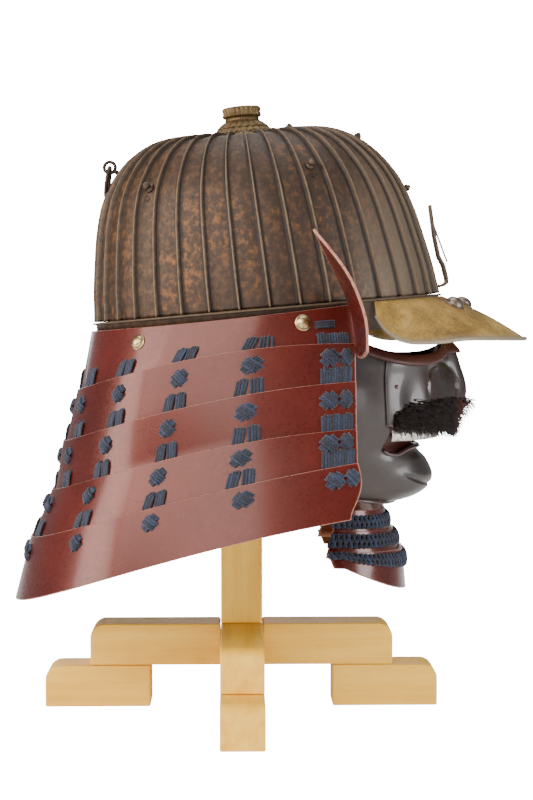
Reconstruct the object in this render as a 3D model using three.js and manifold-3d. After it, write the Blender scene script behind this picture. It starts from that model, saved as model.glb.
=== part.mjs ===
// A ribbed iron samurai helmet with its face guard, carried by a plain wooden cross stand.
// Millimetres, +Z up. The helmet faces -Y and the stand's feet rest on Z = 0, under the middle of the whole.
// Inside this file a point is [forward, side, up]: forward is -Y, side is X. Left and right are the wearer's.
import * as THREE from "three";
import { mergeVertices } from "three/addons/utils/BufferGeometryUtils.js";
import Module from "manifold-3d";

const wasm = await Module();
wasm.setup();

// ---- Driving dimensions -------------------------------------------------------------------------

const GAP = 0.4; // between two pieces that touch

const STAND = {
  timber: 35, // square section of every bar
  beamLength: 256,
  footLength: 89,
  footReach: 38, // how far a foot stands out past its beam
  corner: 12, // radius of the rounded upper ends
  postTop: 476,
  back: 26.1, // the post stands this far behind the middle of the whole
};

// The middle of the bowl's rim from the post's foot, and how many degrees the helmet is tipped nose-up
const HELMET = { forward: 22.8, up: 337, tilt: 4.9 };

const BOWL = {
  halfLength: 142.4,
  halfWidth: 119.2,
  plates: 38,
  wall: 2,
  ribHeight: 2.6,
  ribHalfAngle: 1.1, // degrees, at the rib's foot
  crownShift: -7.4, // the crown lies this far behind the middle of the rim
  // [fraction of the rim's half length, height over the rim], rim to crown
  profile: [
    [1, 0], [0.99, 20], [0.961, 45], [0.919, 74], [0.86, 98.5], [0.771, 118],
    [0.663, 132.5], [0.52, 142.4], [0.345, 147.4], [0.21, 147], [0.09, 146.4],
  ],
};

const BAND = { outward: 2.6, flange: 5.4, flangeThick: 1.7, wall: 2.2, depth: 25 };

const VISOR = {
  wall: 1.8,
  crown: 3, // how far its middle bulges over the straight line from root to edge
  // root angle from the front in degrees, then the outer edge as [forward, side, up] from the rim's middle
  edge: [
    [0, 216, 0, -44.2], [9, 210, 32, -44], [17, 196, 58, -42.5], [26, 176, 82, -40.3], [34, 152, 101, -38.3],
    [42, 126, 113, -38.5], [49, 104, 117, -36], [54, 89, 113, -27], [56, 82, 106, -14],
  ],
};

const FINIAL = {
  base: 149.3,
  // [radius, height over the base], up the outside and down the bore
  profile: [
    [10.5, 0], [30, 0], [29.5, 1.6], [24, 4], [19.5, 8], [16, 12.2], [14, 12.8], [14, 15], [15.5, 15.7],
    [15.5, 22], [14.6, 23], [9, 23], [9, 13], [10.5, 8],
  ],
};

const NECK = {
  wall: 2,
  step: 3.1, // a plate's top edge stands this far outside the plate above it
  overlap: 10,
  columns: 36,
  // Plan half length and half width, roundness of the plan, height at the back, beside and at the front ends
  edges: [
    { half: 148.2, wide: 124.9, round: 2, up: [317.5, 327, 339], front: 62 },
    { half: 159.7, wide: 132, round: 2.3, up: [268.6, 301, 309], front: 66 },
    { half: 172, wide: 141, round: 2.3, up: [226, 266, 280], front: 66 },
    { half: 181, wide: 150, round: 2.3, up: [186, 230, 244], front: 66 },
    { half: 199, wide: 161, round: 2.3, up: [147, 198, 219], front: 66 },
    { half: 212.4, wide: 172, round: 2.3, up: [95, 156, 177], front: 60 },
  ],
  beside: -40, // forward place of the middle height
  lastPlateBulge: 5, // the front ends of the last plate swell forward by this much
};

const WING = {
  tip: [30, 174, 394],
  outer: [[54, 188, 362], [67, 192, 330]],
  corner: [70, 180, 303],
  columns: 5,
};

const LACE = {
  wide: 20,
  frontWide: 28,
  thick: 2,
  rise: 14, // starts this far above the first crossed edge
  fall: 22, // ends this far below the last one
  columns: [0, 0.205, 0.41, 0.61, 0.785, 0.955], // from the back (0) to the front end (1)
};

const MASK = {
  wall: 1.8,
  back: 48, // forward place of its side edges' middle
  squareness: 2.4,
  sideAngle: 96,
  seamAngle: 65,
  // [up, forward place of the face without the nose, half width]
  rows: [
    [174, 104, 50], [178, 122, 54], [184, 133, 58], [191, 139, 61], [199, 140, 64], [210, 135, 68],
    [222, 127, 71],
    [236, 147, 74], [250, 149, 76], [270, 147, 77], [288, 146, 76], [307, 148, 75],
  ],
  lip: 222,
  upperLip: 237,
  bridge: 307,
  eyeEdge: 297.5,
  temple: 309, // the eyes' edge rises to this beside them
  // [up, how far it stands out, half width]
  nose: [[249, 0, 15], [254, 12, 15], [262, 20, 14], [275, 21, 12], [292, 16, 8], [307, 9, 6]],
};

const THROAT = {
  wall: 2,
  columns: 20,
  // Top edge and bottom edge of each plate: [half width, back, front, up at the back, up at the front]
  plates: [
    { top: [52, 62, 100, 171, 169], bottom: [56, 60, 103, 155, 153] },
    { top: [60, 60, 107, 155, 152], bottom: [66, 57, 111, 139, 137] },
    { top: [70, 57, 115, 139, 136], bottom: [76, 62, 118, 113, 102] },
  ],
};

const RING = {
  radius: 12,
  wire: 1.7,
  eyeRadius: 4.7,
  eyeWire: 1.5,
  stand: 11.8, // the ring's pivot over the bowl's face
  along: 0.52, // how far up the back of the bowl the staple stands
  lean: 8, // degrees out of plumb at which the ring rests on the bowl
};

const COLOUR = {
  iron: ["#5d4a36", 0.62, 0.85],
  darkIron: ["#2e2621", 0.5, 0.85],
  gilt: ["#97804f", 0.55, 0.8],
  polished: ["#9b8d80", 0.3, 1],
  redLacquer: ["#7c2f27", 0.22, 0],
  brownLacquer: ["#3a2421", 0.3, 0.3],
  silk: ["#23364f", 0.8, 0],
  bristle: ["#2a1a14", 0.9, 0],
  silver: ["#c9c7c2", 0.3, 1],
  wood: ["#dcbf7e", 0.6, 0],
};

// ---- Solids from grids of points ----------------------------------------------------------------

const radians = THREE.MathUtils.degToRad;

// A point given as [forward, side, up] in the frame of the part.
function place([forward, side, up]) {
  return new THREE.Vector3(side, -forward, up);
}

// A closed surface with its faces turned outwards, whichever way they were listed.
function closedSurface(points, faces) {
  const flat = points.flatMap((p) => [p.x, p.y, p.z]);
  let volume = 0;
  for (let i = 0; i < faces.length; i += 3) {
    const [a, b, c] = [points[faces[i]], points[faces[i + 1]], points[faces[i + 2]]];
    volume += a.dot(b.clone().cross(c));
  }
  const outward = volume > 0 ? faces : faces.slice().reverse();
  const geometry = new THREE.BufferGeometry();
  geometry.setAttribute("position", new THREE.Float32BufferAttribute(flat, 3));
  geometry.setIndex(outward);
  geometry.computeVertexNormals();
  return geometry;
}

// The solid between two grids of the same size. A round grid's last column meets its first one.
function solidBetween(outer, inner, round = false) {
  const rows = outer.length;
  const columns = outer[0].length;
  const points = [...outer.flat(), ...inner.flat()];
  const at = (layer, row, column) => layer * rows * columns + row * columns + (column % columns);
  const faces = [];
  const quad = (a, b, c, d) => faces.push(a, b, c, a, c, d);
  const last = round ? columns : columns - 1;
  for (let column = 0; column < last; column++) {
    const next = column + 1;
    for (let row = 0; row < rows - 1; row++) {
      quad(at(0, row, column), at(0, row, next), at(0, row + 1, next), at(0, row + 1, column));
      quad(at(1, row + 1, column), at(1, row + 1, next), at(1, row, next), at(1, row, column));
    }
    quad(at(1, 0, column), at(1, 0, next), at(0, 0, next), at(0, 0, column));
    quad(at(0, rows - 1, column), at(0, rows - 1, next), at(1, rows - 1, next), at(1, rows - 1, column));
  }
  for (let row = 0; !round && row < rows - 1; row++) {
    quad(at(0, row, 0), at(0, row + 1, 0), at(1, row + 1, 0), at(1, row, 0));
    quad(at(1, row, last), at(1, row + 1, last), at(0, row + 1, last), at(0, row, last));
  }
  return closedSurface(points, faces);
}

// The grid moved along its own normals, away from inside where the distance is positive.
function offsetGrid(grid, distance, inside) {
  const rows = grid.length;
  const columns = grid[0].length;
  const normals = grid.map((line, row) =>
    line.map((point, column) => {
      const along = line[Math.min(column + 1, columns - 1)].clone().sub(line[Math.max(column - 1, 0)]);
      const down = grid[Math.min(row + 1, rows - 1)][column].clone().sub(grid[Math.max(row - 1, 0)][column]);
      return along.cross(down).normalize();
    }),
  );
  const midRow = Math.floor(rows / 2);
  const midColumn = Math.floor(columns / 2);
  const outward = grid[midRow][midColumn].clone().sub(inside).dot(normals[midRow][midColumn]);
  const reach = outward > 0 ? distance : -distance;
  return grid.map((line, row) =>
    line.map((point, column) => point.clone().addScaledVector(normals[row][column], reach)),
  );
}

// A sheet of one thickness, whose outer face is the grid.
function sheet(grid, thickness, inside) {
  return solidBetween(grid, offsetGrid(grid, -thickness, inside));
}

// A closed section, a list of points for each station, swept from station to station with flat ends.
function sweep(stations) {
  const sides = stations[0].length;
  const points = stations.flat();
  const faces = [];
  for (let station = 0; station < stations.length - 1; station++) {
    for (let side = 0; side < sides; side++) {
      const next = (side + 1) % sides;
      const a = station * sides;
      const b = a + sides;
      faces.push(a + side, a + next, b + next, a + side, b + next, b + side);
    }
  }
  const end = (stations.length - 1) * sides;
  for (let side = 1; side < sides - 1; side++) {
    faces.push(0, side + 1, side, end, end + side, end + side + 1);
  }
  return closedSurface(points, faces);
}

// Several overlapping closed geometries as one.
function join(...geometries) {
  const solids = geometries.map((geometry) => {
    const bare = geometry.clone();
    bare.deleteAttribute("normal");
    bare.deleteAttribute("uv");
    const merged = mergeVertices(bare.index ? bare : mergeVertices(bare), 1e-4);
    return new wasm.Manifold(
      new wasm.Mesh({
        numProp: 3,
        vertProperties: merged.attributes.position.array,
        triVerts: new Uint32Array(merged.index.array),
      }),
    );
  });
  const joined = solids.reduce((whole, solid) => whole.add(solid)).getMesh();
  const geometry = new THREE.BufferGeometry();
  geometry.setAttribute("position", new THREE.BufferAttribute(joined.vertProperties, 3));
  geometry.setIndex(new THREE.BufferAttribute(joined.triVerts, 1));
  geometry.computeVertexNormals();
  return geometry;
}

// The value at x of the smooth curve through rows of [x, value, ...], taking the given column.
function readTable(rows, x, column = 1) {
  const curve = new THREE.SplineCurve(rows.map((row) => new THREE.Vector2(row[0], row[column])));
  let low = 0;
  let high = 1;
  for (let step = 0; step < 30; step++) {
    const middle = (low + high) / 2;
    if (curve.getPoint(middle).x < x) low = middle;
    else high = middle;
  }
  return curve.getPoint(low).y;
}

function finish(name) {
  const [colour, roughness, metalness] = COLOUR[name];
  return new THREE.MeshStandardMaterial({ color: colour, roughness, metalness });
}

function addPiece(group, name, geometry, finishName) {
  const mesh = new THREE.Mesh(geometry, finish(finishName));
  mesh.name = name;
  group.add(mesh);
  return mesh;
}

// A power of a sine or cosine that keeps its sign, for rounded-square plans.
function power(value, exponent) {
  return Math.sign(value) * Math.abs(value) ** exponent;
}

// ---- The wooden stand ---------------------------------------------------------------------------

// A bar's side view, [along, up], with one or both upper ends rounded.
function barOutline(from, to, height, roundFrom, roundTo) {
  const outline = new THREE.Shape();
  const radius = STAND.corner;
  outline.moveTo(from, 0);
  outline.lineTo(to, 0);
  outline.lineTo(to, roundTo ? height - radius : height);
  if (roundTo) outline.absarc(to - radius, height - radius, radius, 0, Math.PI / 2, false);
  outline.lineTo(roundFrom ? from + radius : from, height);
  if (roundFrom) outline.absarc(from + radius, height - radius, radius, Math.PI / 2, Math.PI, false);
  outline.closePath();
  return outline;
}

// The outline extruded to the timber's width, standing upright and running along +X.
function barGeometry(outline) {
  const options = { depth: STAND.timber, bevelEnabled: false, curveSegments: 6 };
  const geometry = new THREE.ExtrudeGeometry(outline, options);
  geometry.translate(0, 0, -STAND.timber / 2);
  geometry.rotateX(Math.PI / 2);
  return geometry;
}

// A beam halved at its middle, so that the two beams cross at one level.
function halvedBeam(notchOnTop) {
  const half = STAND.beamLength / 2;
  const notch = STAND.timber / 2 + GAP;
  const middle = STAND.timber / 2;
  const outline = new THREE.Shape();
  const radius = STAND.corner;
  outline.moveTo(-half, 0);
  if (!notchOnTop) {
    outline.lineTo(-notch, 0);
    outline.lineTo(-notch, middle + GAP / 2);
    outline.lineTo(notch, middle + GAP / 2);
    outline.lineTo(notch, 0);
  }
  outline.lineTo(half, 0);
  outline.lineTo(half, STAND.timber - radius);
  outline.absarc(half - radius, STAND.timber - radius, radius, 0, Math.PI / 2, false);
  if (notchOnTop) {
    outline.lineTo(notch, STAND.timber);
    outline.lineTo(notch, middle - GAP / 2);
    outline.lineTo(-notch, middle - GAP / 2);
    outline.lineTo(-notch, STAND.timber);
  }
  outline.lineTo(-half + radius, STAND.timber);
  outline.absarc(-half + radius, STAND.timber - radius, radius, Math.PI / 2, Math.PI, false);
  outline.closePath();
  return barGeometry(outline);
}

function buildStand() {
  const stand = new THREE.Group();
  const { timber, beamLength, footLength, footReach } = STAND;
  const beamLevel = timber + GAP;
  const outer = beamLength / 2 + footReach;
  const feet = [["left", 0], ["back", 90], ["right", 180], ["front", 270]];
  for (const [side, turn] of feet) {
    const outline = barOutline(outer - footLength, outer, timber, false, true);
    const foot = addPiece(stand, "stand_foot_" + side, barGeometry(outline), "wood");
    foot.rotation.z = radians(turn);
  }
  const longBeam = addPiece(stand, "stand_beam_long", halvedBeam(true), "wood");
  longBeam.rotation.z = Math.PI / 2;
  longBeam.position.z = beamLevel;
  const crossBeam = addPiece(stand, "stand_beam_cross", halvedBeam(false), "wood");
  crossBeam.position.z = beamLevel;
  const postFoot = beamLevel + timber + GAP;
  const post = new THREE.BoxGeometry(timber, timber, STAND.postTop - postFoot);
  post.translate(0, 0, (STAND.postTop + postFoot) / 2);
  addPiece(stand, "stand_post", post, "wood");
  return stand;
}

// A plain wooden T from the post to the inside of the cheeks, out of sight, which carries the face guard.
function buildMaskRest() {
  const rest = { level: 262, bar: 16, front: 104, halfWidth: 52 };
  const back = STAND.timber / 2 + GAP - HELMET.forward;
  const half = rest.bar / 2;
  const outline = new THREE.Shape([
    new THREE.Vector2(-half, back),
    new THREE.Vector2(half, back),
    new THREE.Vector2(half, rest.front - rest.bar),
    new THREE.Vector2(rest.halfWidth, rest.front - rest.bar),
    new THREE.Vector2(rest.halfWidth, rest.front),
    new THREE.Vector2(-rest.halfWidth, rest.front),
    new THREE.Vector2(-rest.halfWidth, rest.front - rest.bar),
    new THREE.Vector2(-half, rest.front - rest.bar),
  ]);
  const geometry = new THREE.ExtrudeGeometry(outline, { depth: rest.bar, bevelEnabled: false });
  geometry.rotateX(Math.PI);
  geometry.translate(0, 0, rest.level);
  return geometry;
}

// ---- The bowl and what is fixed to it -----------------------------------------------------------

const bowlCurve = new THREE.SplineCurve(BOWL.profile.map(([reach, up]) => new THREE.Vector2(reach, up)));

// A point of the bowl's face. angle 0 is the back, along runs from the rim (0) to the crown (1).
function bowlPoint(angle, along, stand) {
  const { x: reach, y: up } = bowlCurve.getPoint(along);
  const slope = bowlCurve.getTangent(along);
  const out = stand * slope.y;
  const lift = -stand * slope.x;
  const rise = THREE.MathUtils.clamp(up / 150, 0, 1);
  const size = Math.hypot(slope.x * BOWL.halfLength, slope.y) || 1;
  const outward = out / size;
  const upward = (lift * BOWL.halfLength) / size;
  return place([
    BOWL.crownShift * rise - (BOWL.halfLength * reach + outward) * Math.cos(angle),
    (BOWL.halfWidth * reach + outward) * Math.sin(angle),
    up + upward,
  ]);
}

function buildBowl() {
  const rows = 12;
  const innerRows = 8;
  const pitch = (2 * Math.PI) / BOWL.plates;
  const foot = radians(BOWL.ribHalfAngle);
  const outer = [];
  for (let row = 0; row < rows; row++) {
    const along = row / (rows - 1);
    const rib = BOWL.ribHeight * THREE.MathUtils.clamp((1 - along) * 5, 0.25, 1);
    const ring = [];
    for (let plate = 0; plate < BOWL.plates; plate++) {
      const angle = (plate + 0.5) * pitch;
      ring.push(bowlPoint(angle - foot, along, 0));
      ring.push(bowlPoint(angle, along, rib));
      ring.push(bowlPoint(angle + foot, along, 0));
    }
    outer.push(ring);
  }
  const inner = [];
  for (let row = 0; row < innerRows; row++) {
    const along = row / (innerRows - 1);
    const ring = [];
    for (let plate = 0; plate < BOWL.plates; plate++) {
      ring.push(bowlPoint((plate + 0.5) * pitch, along, -BOWL.wall));
    }
    inner.push(ring);
  }
  const points = [...outer.flat(), ...inner.flat()];
  const around = 3 * BOWL.plates;
  const out = (row, column) => row * around + (column % around);
  const into = (row, plate) => rows * around + row * BOWL.plates + (plate % BOWL.plates);
  const faces = [];
  for (let row = 0; row < rows - 1; row++) {
    for (let column = 0; column < around; column++) {
      const [a, b] = [out(row, column), out(row, column + 1)];
      const [c, d] = [out(row + 1, column + 1), out(row + 1, column)];
      faces.push(a, b, c, a, c, d);
    }
  }
  for (let row = 0; row < innerRows - 1; row++) {
    for (let plate = 0; plate < BOWL.plates; plate++) {
      const [a, b] = [into(row, plate), into(row, plate + 1)];
      const [c, d] = [into(row + 1, plate + 1), into(row + 1, plate)];
      faces.push(c, b, a, d, c, a);
    }
  }
  for (let plate = 0; plate < BOWL.plates; plate++) {
    for (const [outRow, inRow, turn] of [[0, 0, false], [rows - 1, innerRows - 1, true]]) {
      const here = into(inRow, plate);
      const next = into(inRow, plate + 1);
      const edge = [0, 1, 2, 3].map((step) => out(outRow, 3 * plate + step));
      const fan = [
        here, edge[1], edge[0], here, edge[2], edge[1],
        here, edge[3], edge[2], here, next, edge[3],
      ];
      faces.push(...(turn ? fan.reverse() : fan));
    }
  }
  return closedSurface(points, faces);
}

// A point of the rim's outline, moved outwards, at a height over the rim.
function rimPoint(angle, outward, up) {
  return place([
    -(BOWL.halfLength + outward) * Math.cos(angle),
    (BOWL.halfWidth + outward) * Math.sin(angle),
    up,
  ]);
}

// The band under the bowl, with the small ledge that the ribs end on.
function buildBand() {
  const steps = 48;
  const { outward, flange, flangeThick, wall, depth } = BAND;
  const ledge = -GAP - flangeThick;
  const outerLine = [[flange, -GAP], [flange, ledge], [outward, ledge], [outward, -depth]];
  const innerLine = [-GAP, ledge, -depth / 2, -depth].map((up) => [outward - wall, up]);
  const ring = ([reach, up]) => {
    const line = [];
    for (let step = 0; step < steps; step++) line.push(rimPoint((step * 2 * Math.PI) / steps, reach, up));
    return line;
  };
  return solidBetween(outerLine.map(ring), innerLine.map(ring), true);
}

// The visor's whole edge from the right end to the left one, mirrored from its left half.
const visorLine = [
  ...VISOR.edge.slice(1).reverse().map(([angle, forward, side, up]) => [-angle, forward, -side, up]),
  ...VISOR.edge,
];
const visorEdge = new THREE.CatmullRomCurve3(visorLine.map(([, ...point]) => place(point)));
const visorAngles = visorLine.map(([angle]) => angle);

// A point of the visor's upper face: across runs from -1 to 1, side to side,
// and along runs from the root (0) to the edge (1).

function visorPoint(across, along) {
  const place01 = (across + 1) / 2;
  const edge = visorEdge.getPoint(place01);
  const index = place01 * (visorAngles.length - 1);
  const low = Math.min(Math.floor(index), visorAngles.length - 2);
  const angle = THREE.MathUtils.lerp(visorAngles[low], visorAngles[low + 1], index - low);
  const root = rimPoint(Math.PI - radians(angle), BAND.flange, -2 * GAP - BAND.flangeThick);
  const point = root.lerp(edge, along);
  const bulge = VISOR.crown * Math.sin(Math.PI * along) * (1 - across * across);
  return point.add(new THREE.Vector3(0, -0.5, 0.85).multiplyScalar(bulge));
}

function buildVisor() {
  const columns = 29;
  const rows = 5;
  const grid = [];
  for (let row = 0; row < rows; row++) {
    const line = [];
    for (let column = 0; column < columns; column++) {
      line.push(visorPoint((2 * column) / (columns - 1) - 1, row / (rows - 1)));
    }
    grid.push(line);
  }
  return sheet(grid, VISOR.wall, place([100, 0, -80]));
}

// A low domed rivet head whose flat back lies at the origin, pointing up.
function domeGeometry(radius, height) {
  const profile = [
    [0, 0], [radius, 0], [radius * 0.93, height * 0.45], [radius * 0.6, height * 0.86], [0, height],
  ];
  return new THREE.LatheGeometry(profile.map(([r, z]) => new THREE.Vector2(r, z)), 14).rotateX(Math.PI / 2);
}

// A short post with a wide foot, pointing up.
function postGeometry() {
  const profile = [[0, 0], [2.3, 0], [2.2, 0.9], [1.7, 1.6], [1.5, 6], [1, 6.8], [0, 7]];
  return new THREE.LatheGeometry(profile.map(([r, z]) => new THREE.Vector2(r, z)), 10).rotateX(Math.PI / 2);
}

// Puts a piece that points up onto a surface, with its up along the normal.
function seat(mesh, point, normal, gap = GAP) {
  mesh.quaternion.setFromUnitVectors(new THREE.Vector3(0, 0, 1), normal);
  mesh.position.copy(point).addScaledVector(normal, gap);
}

// The normal of a surface given as a function of two numbers, pointing away from inside.
function surfaceNormal(surface, a, b, inside) {
  const small = 1e-3;
  const here = surface(a, b);
  const first = surface(a + small, b).sub(surface(a - small, b));
  const second = surface(a, b + small).sub(surface(a, b - small));
  const normal = first.cross(second).normalize();
  return normal.dot(here.clone().sub(inside)) < 0 ? normal.negate() : normal;
}

function buildFinial() {
  const profile = FINIAL.profile.map(([radius, up]) => new THREE.Vector2(radius, up));
  profile.push(profile[0].clone());
  const geometry = new THREE.LatheGeometry(profile, 28).rotateX(Math.PI / 2);
  geometry.translate(0, -BOWL.crownShift, FINIAL.base);
  return geometry;
}

// The hooked plate at the front that a crest slides onto, with the thin spring on its face.
function buildCrestHolder() {
  const line = [
    [145, 6], [154, 8], [151.8, 23], [148.4, 31], [146, 49], [144.6, 75],
  ];
  const half = [7.5, 7.5, 7.5, 7, 6, 5];
  const thick = 3.2;
  const plate = line.map(([forward, up], index) => {
    const next = line[Math.min(index + 1, line.length - 1)];
    const previous = line[Math.max(index - 1, 0)];
    const run = new THREE.Vector2(next[0] - previous[0], next[1] - previous[1]).normalize();
    const [df, du] = [(run.y * thick) / 2, (-run.x * thick) / 2];
    return [
      place([forward + df, -half[index], up + du]),
      place([forward + df, half[index], up + du]),
      place([forward - df, half[index], up - du]),
      place([forward - df, -half[index], up - du]),
    ];
  });
  const springLine = [[146.4, 56], [150.6, 42], [154.4, 29]];
  const spring = springLine.map(([forward, up]) => [
    place([forward + 0.6, -3, up]),
    place([forward + 0.6, 3, up]),
    place([forward - 0.9, 3, up]),
    place([forward - 0.9, -3, up]),
  ]);
  return join(sweep(plate), sweep(spring));
}

// A ring of round wire about the Z axis.
function torus(radius, wire, around, sides) {
  return new THREE.TorusGeometry(radius, wire, sides, around);
}

// The middle of the staple's eye in the helmet's frame, on which the ring turns.
function ringPivot() {
  const { point, normal } = stapleSeat();
  return point.addScaledVector(normal, RING.stand);
}

function stapleSeat() {
  const surface = (angle, along) => bowlPoint(angle, along, 0);
  const normal = surfaceNormal(surface, 0, RING.along, place([0, 0, 40]));
  return { point: surface(0, RING.along), normal };
}

// The ring hangs in the plane across the helmet, from a pivot at the origin.
function buildRing() {
  const geometry = torus(RING.radius, RING.wire, 24, 8);
  geometry.rotateX(Math.PI / 2);
  geometry.translate(0, 0, -RING.radius);
  geometry.rotateX(radians(RING.lean));
  return geometry;
}

// The staple points up from a flat washer at the origin to the eye.
function buildStaple() {
  const washer = new THREE.CylinderGeometry(3.2, 5.4, 2.6, 16).rotateX(Math.PI / 2);
  washer.translate(0, 0, 1.3);
  const neck = RING.stand - RING.eyeRadius - GAP;
  const shank = new THREE.CylinderGeometry(RING.eyeWire, RING.eyeWire, neck, 10).rotateX(Math.PI / 2);
  shank.translate(0, 0, neck / 2 + 0.2);
  const eye = torus(RING.eyeRadius, RING.eyeWire, 16, 8).rotateY(Math.PI / 2);
  eye.translate(0, 0, RING.stand - GAP);
  return join(washer, shank, eye);
}

// ---- The neck guard -----------------------------------------------------------------------------

// Height of an edge at a forward place: the parabola through its back, side and front heights.
function edgeHeight(edge, forward) {
  const [x0, x1, x2] = [-edge.half, NECK.beside, edge.front];
  const [y0, y1, y2] = edge.up;
  return (
    (y0 * (forward - x1) * (forward - x2)) / ((x0 - x1) * (x0 - x2)) +
    (y1 * (forward - x0) * (forward - x2)) / ((x1 - x0) * (x1 - x2)) +
    (y2 * (forward - x0) * (forward - x1)) / ((x2 - x0) * (x2 - x1))
  );
}

// A point of an edge. across runs from -1 at one front end, round the back, to 1 at the other.
function edgePoint(edge, across, inset, front = edge.front) {
  const half = edge.half - inset;
  const wide = edge.wide - inset;
  const exponent = 2 / edge.round;
  const last = Math.PI - Math.acos((front / half) ** (edge.round / 2));
  const angle = across * last;
  const forward = -half * power(Math.cos(angle), exponent);
  return place([forward, wide * power(Math.sin(angle), exponent), edgeHeight(edge, forward)]);
}

// A point of a plate's outer face. down is 0 at its top edge and 1 where the next plate's edge crosses it.
function platePoint(plate, across, down) {
  const top = NECK.edges[plate];
  const bottom = NECK.edges[plate + 1];
  const isLast = plate === NECK.edges.length - 2;
  const inset = isLast ? 0 : NECK.step;
  if (down > 1 && !isLast) {
    const under = platePoint(plate + 1, across, down - 1);
    const above = edgePoint(bottom, across, 0);
    return under.sub(above).add(edgePoint(bottom, across, inset));
  }
  const swell = isLast ? NECK.lastPlateBulge * Math.sin(Math.PI * Math.min(down * 1.15, 1)) : 0;
  const start = edgePoint(top, across, 0, top.front + swell);
  const end = edgePoint(bottom, across, inset, bottom.front + swell);
  return start.lerp(end, down);
}

// How far past 1 a plate runs on behind the next one.
function overlapReach(plate) {
  const drop = NECK.edges[plate + 1].up[1] - (NECK.edges[plate + 2]?.up[1] ?? 0);
  return NECK.overlap / drop;
}

function plateRows(plate) {
  if (plate === NECK.edges.length - 2) return [0, 0.35, 0.75, 1];
  return [0, 0.5, 1, 1 + overlapReach(plate)];
}

function plateGrid(plate) {
  return plateRows(plate).map((down) => {
    const line = [];
    for (let column = 0; column <= NECK.columns; column++) {
      line.push(platePoint(plate, (2 * column) / NECK.columns - 1, down));
    }
    return line;
  });
}

// The turned-out wing at a front end of the first plate, as columns from its outer edge to the fold.
// fold lists the plate's end points from top to bottom, on the side given by side (-1 or 1).
function wingColumns(fold, side) {
  const rows = fold.length;
  const at = ([forward, out, up]) => place([forward, side * out, up]);
  const tip = at(WING.tip);
  const corner = at(WING.corner);
  const outer = new THREE.CatmullRomCurve3([tip, ...WING.outer.map(at), corner]);
  const columns = [];
  for (let column = 0; column < WING.columns; column++) {
    const out = 1 - column / WING.columns;
    const line = [];
    for (let row = 0; row < rows; row++) {
      const down = row / (rows - 1);
      const top = fold[0].clone().lerp(tip, out);
      const bottom = fold[rows - 1].clone().lerp(corner, out);
      bottom.z -= 4 * Math.sin(Math.PI * out);
      const across = top.lerp(bottom, down);
      const rim = fold[row].clone().lerp(outer.getPoint(down), out);
      const flat = fold[0].clone().lerp(tip, out).lerp(fold[rows - 1].clone().lerp(corner, out), down);
      line.push(across.add(rim).sub(flat));
    }
    columns.push(line);
  }
  return columns;
}

function firstPlateGrid() {
  const grid = plateGrid(0);
  const last = grid[0].length - 1;
  const near = wingColumns(grid.map((line) => line[0]), -1);
  const far = wingColumns(grid.map((line) => line[last]), 1).reverse();
  return grid.map((line, row) => [
    ...near.map((column) => column[row]),
    ...line,
    ...far.map((column) => column[row]),
  ]);
}

// The length of an edge from the back to a front end.
function halfArc(edge) {
  const steps = 60;
  let length = 0;
  for (let step = 0; step < steps; step++) {
    length += edgePoint(edge, step / steps, 0).distanceTo(edgePoint(edge, (step + 1) / steps, 0));
  }
  return length;
}

// One column of lacing as a flat strap over the plates, stepping out over each edge.
function buildLace(across, wide) {
  const stations = [];
  const add = (plate, down, lift) => stations.push([plate, down, lift]);
  const count = NECK.edges.length - 1;
  const heights = (plate) => platePoint(plate, across, 0).distanceTo(platePoint(plate, across, 1));
  add(0, 1 - LACE.rise / heights(0), GAP);
  for (let plate = 1; plate < count; plate++) {
    add(plate - 1, 1 - 3 / heights(plate - 1), GAP);
    add(plate, -0.6 / heights(plate), GAP + 0.5);
    const end = plate === count - 1 ? LACE.fall / heights(plate) : 0.5;
    add(plate, end, GAP);
  }
  const grid = stations.map(([plate, down, lift]) => {
    const surface = (a, d) => platePoint(plate, a, d);
    const spread = wide / 2 / halfArc(NECK.edges[plate]);
    return [-1, 0, 1].map((side) => {
      const place01 = THREE.MathUtils.clamp(across + side * spread, -0.99, 0.99);
      const inside = place([0, 0, surface(place01, down).z]);
      return surface(place01, down).addScaledVector(surfaceNormal(surface, place01, down, inside), lift);
    });
  });
  const inside = place([0, 0, 230]);
  return solidBetween(offsetGrid(grid, LACE.thick, inside), grid);
}

// ---- The face guard -----------------------------------------------------------------------------

// A point of the mask's outer face, at an angle from straight ahead in degrees.
function maskPoint(angle, up) {
  const face = readTable(MASK.rows, up, 1);
  const wide = readTable(MASK.rows, up, 2);
  const exponent = 2 / MASK.squareness;
  const turn = radians(angle);
  const side = wide * power(Math.sin(turn), exponent);
  let forward = MASK.back + (face - MASK.back) * power(Math.cos(turn), exponent);
  if (up > MASK.nose[0][0]) {
    const out = readTable(MASK.nose, up, 1);
    const spread = readTable(MASK.nose, up, 2);
    forward += out * Math.exp(-((side / spread) ** 2));
  }
  return place([forward, side, up]);
}

// The height of the mask's upper edge, which dips under the eyes and rises to the bridge of the nose.
function eyeEdge(angle) {
  const size = Math.abs(angle);
  const bridge = (MASK.bridge - MASK.eyeEdge) * Math.exp(-((size / 24) ** 2));
  const temple = 0.012 * Math.max(0, size - 48) ** 2;
  return Math.min(MASK.eyeEdge + bridge + temple, MASK.temple);
}

// The height of the lower lip, which droops beside the chin and rises to the corners of the mouth.
function lipEdge(angle) {
  const size = Math.abs(angle);
  const droop = 5 * Math.exp(-(((size - 50) / 12) ** 2));
  return MASK.lip - droop + 0.25 * Math.max(0, size - 56) ** 2;
}

function maskSheet(angles, lowEdge, highEdge, rows) {
  const grid = [];
  for (let row = 0; row < rows; row++) {
    const along = row / (rows - 1);
    const up = (angle) => THREE.MathUtils.lerp(lowEdge(angle), highEdge(angle), along);
    grid.push(angles.map((angle) => maskPoint(angle, up(angle))));
  }
  return sheet(grid, MASK.wall, place([MASK.back, 0, 240]));
}

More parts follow.
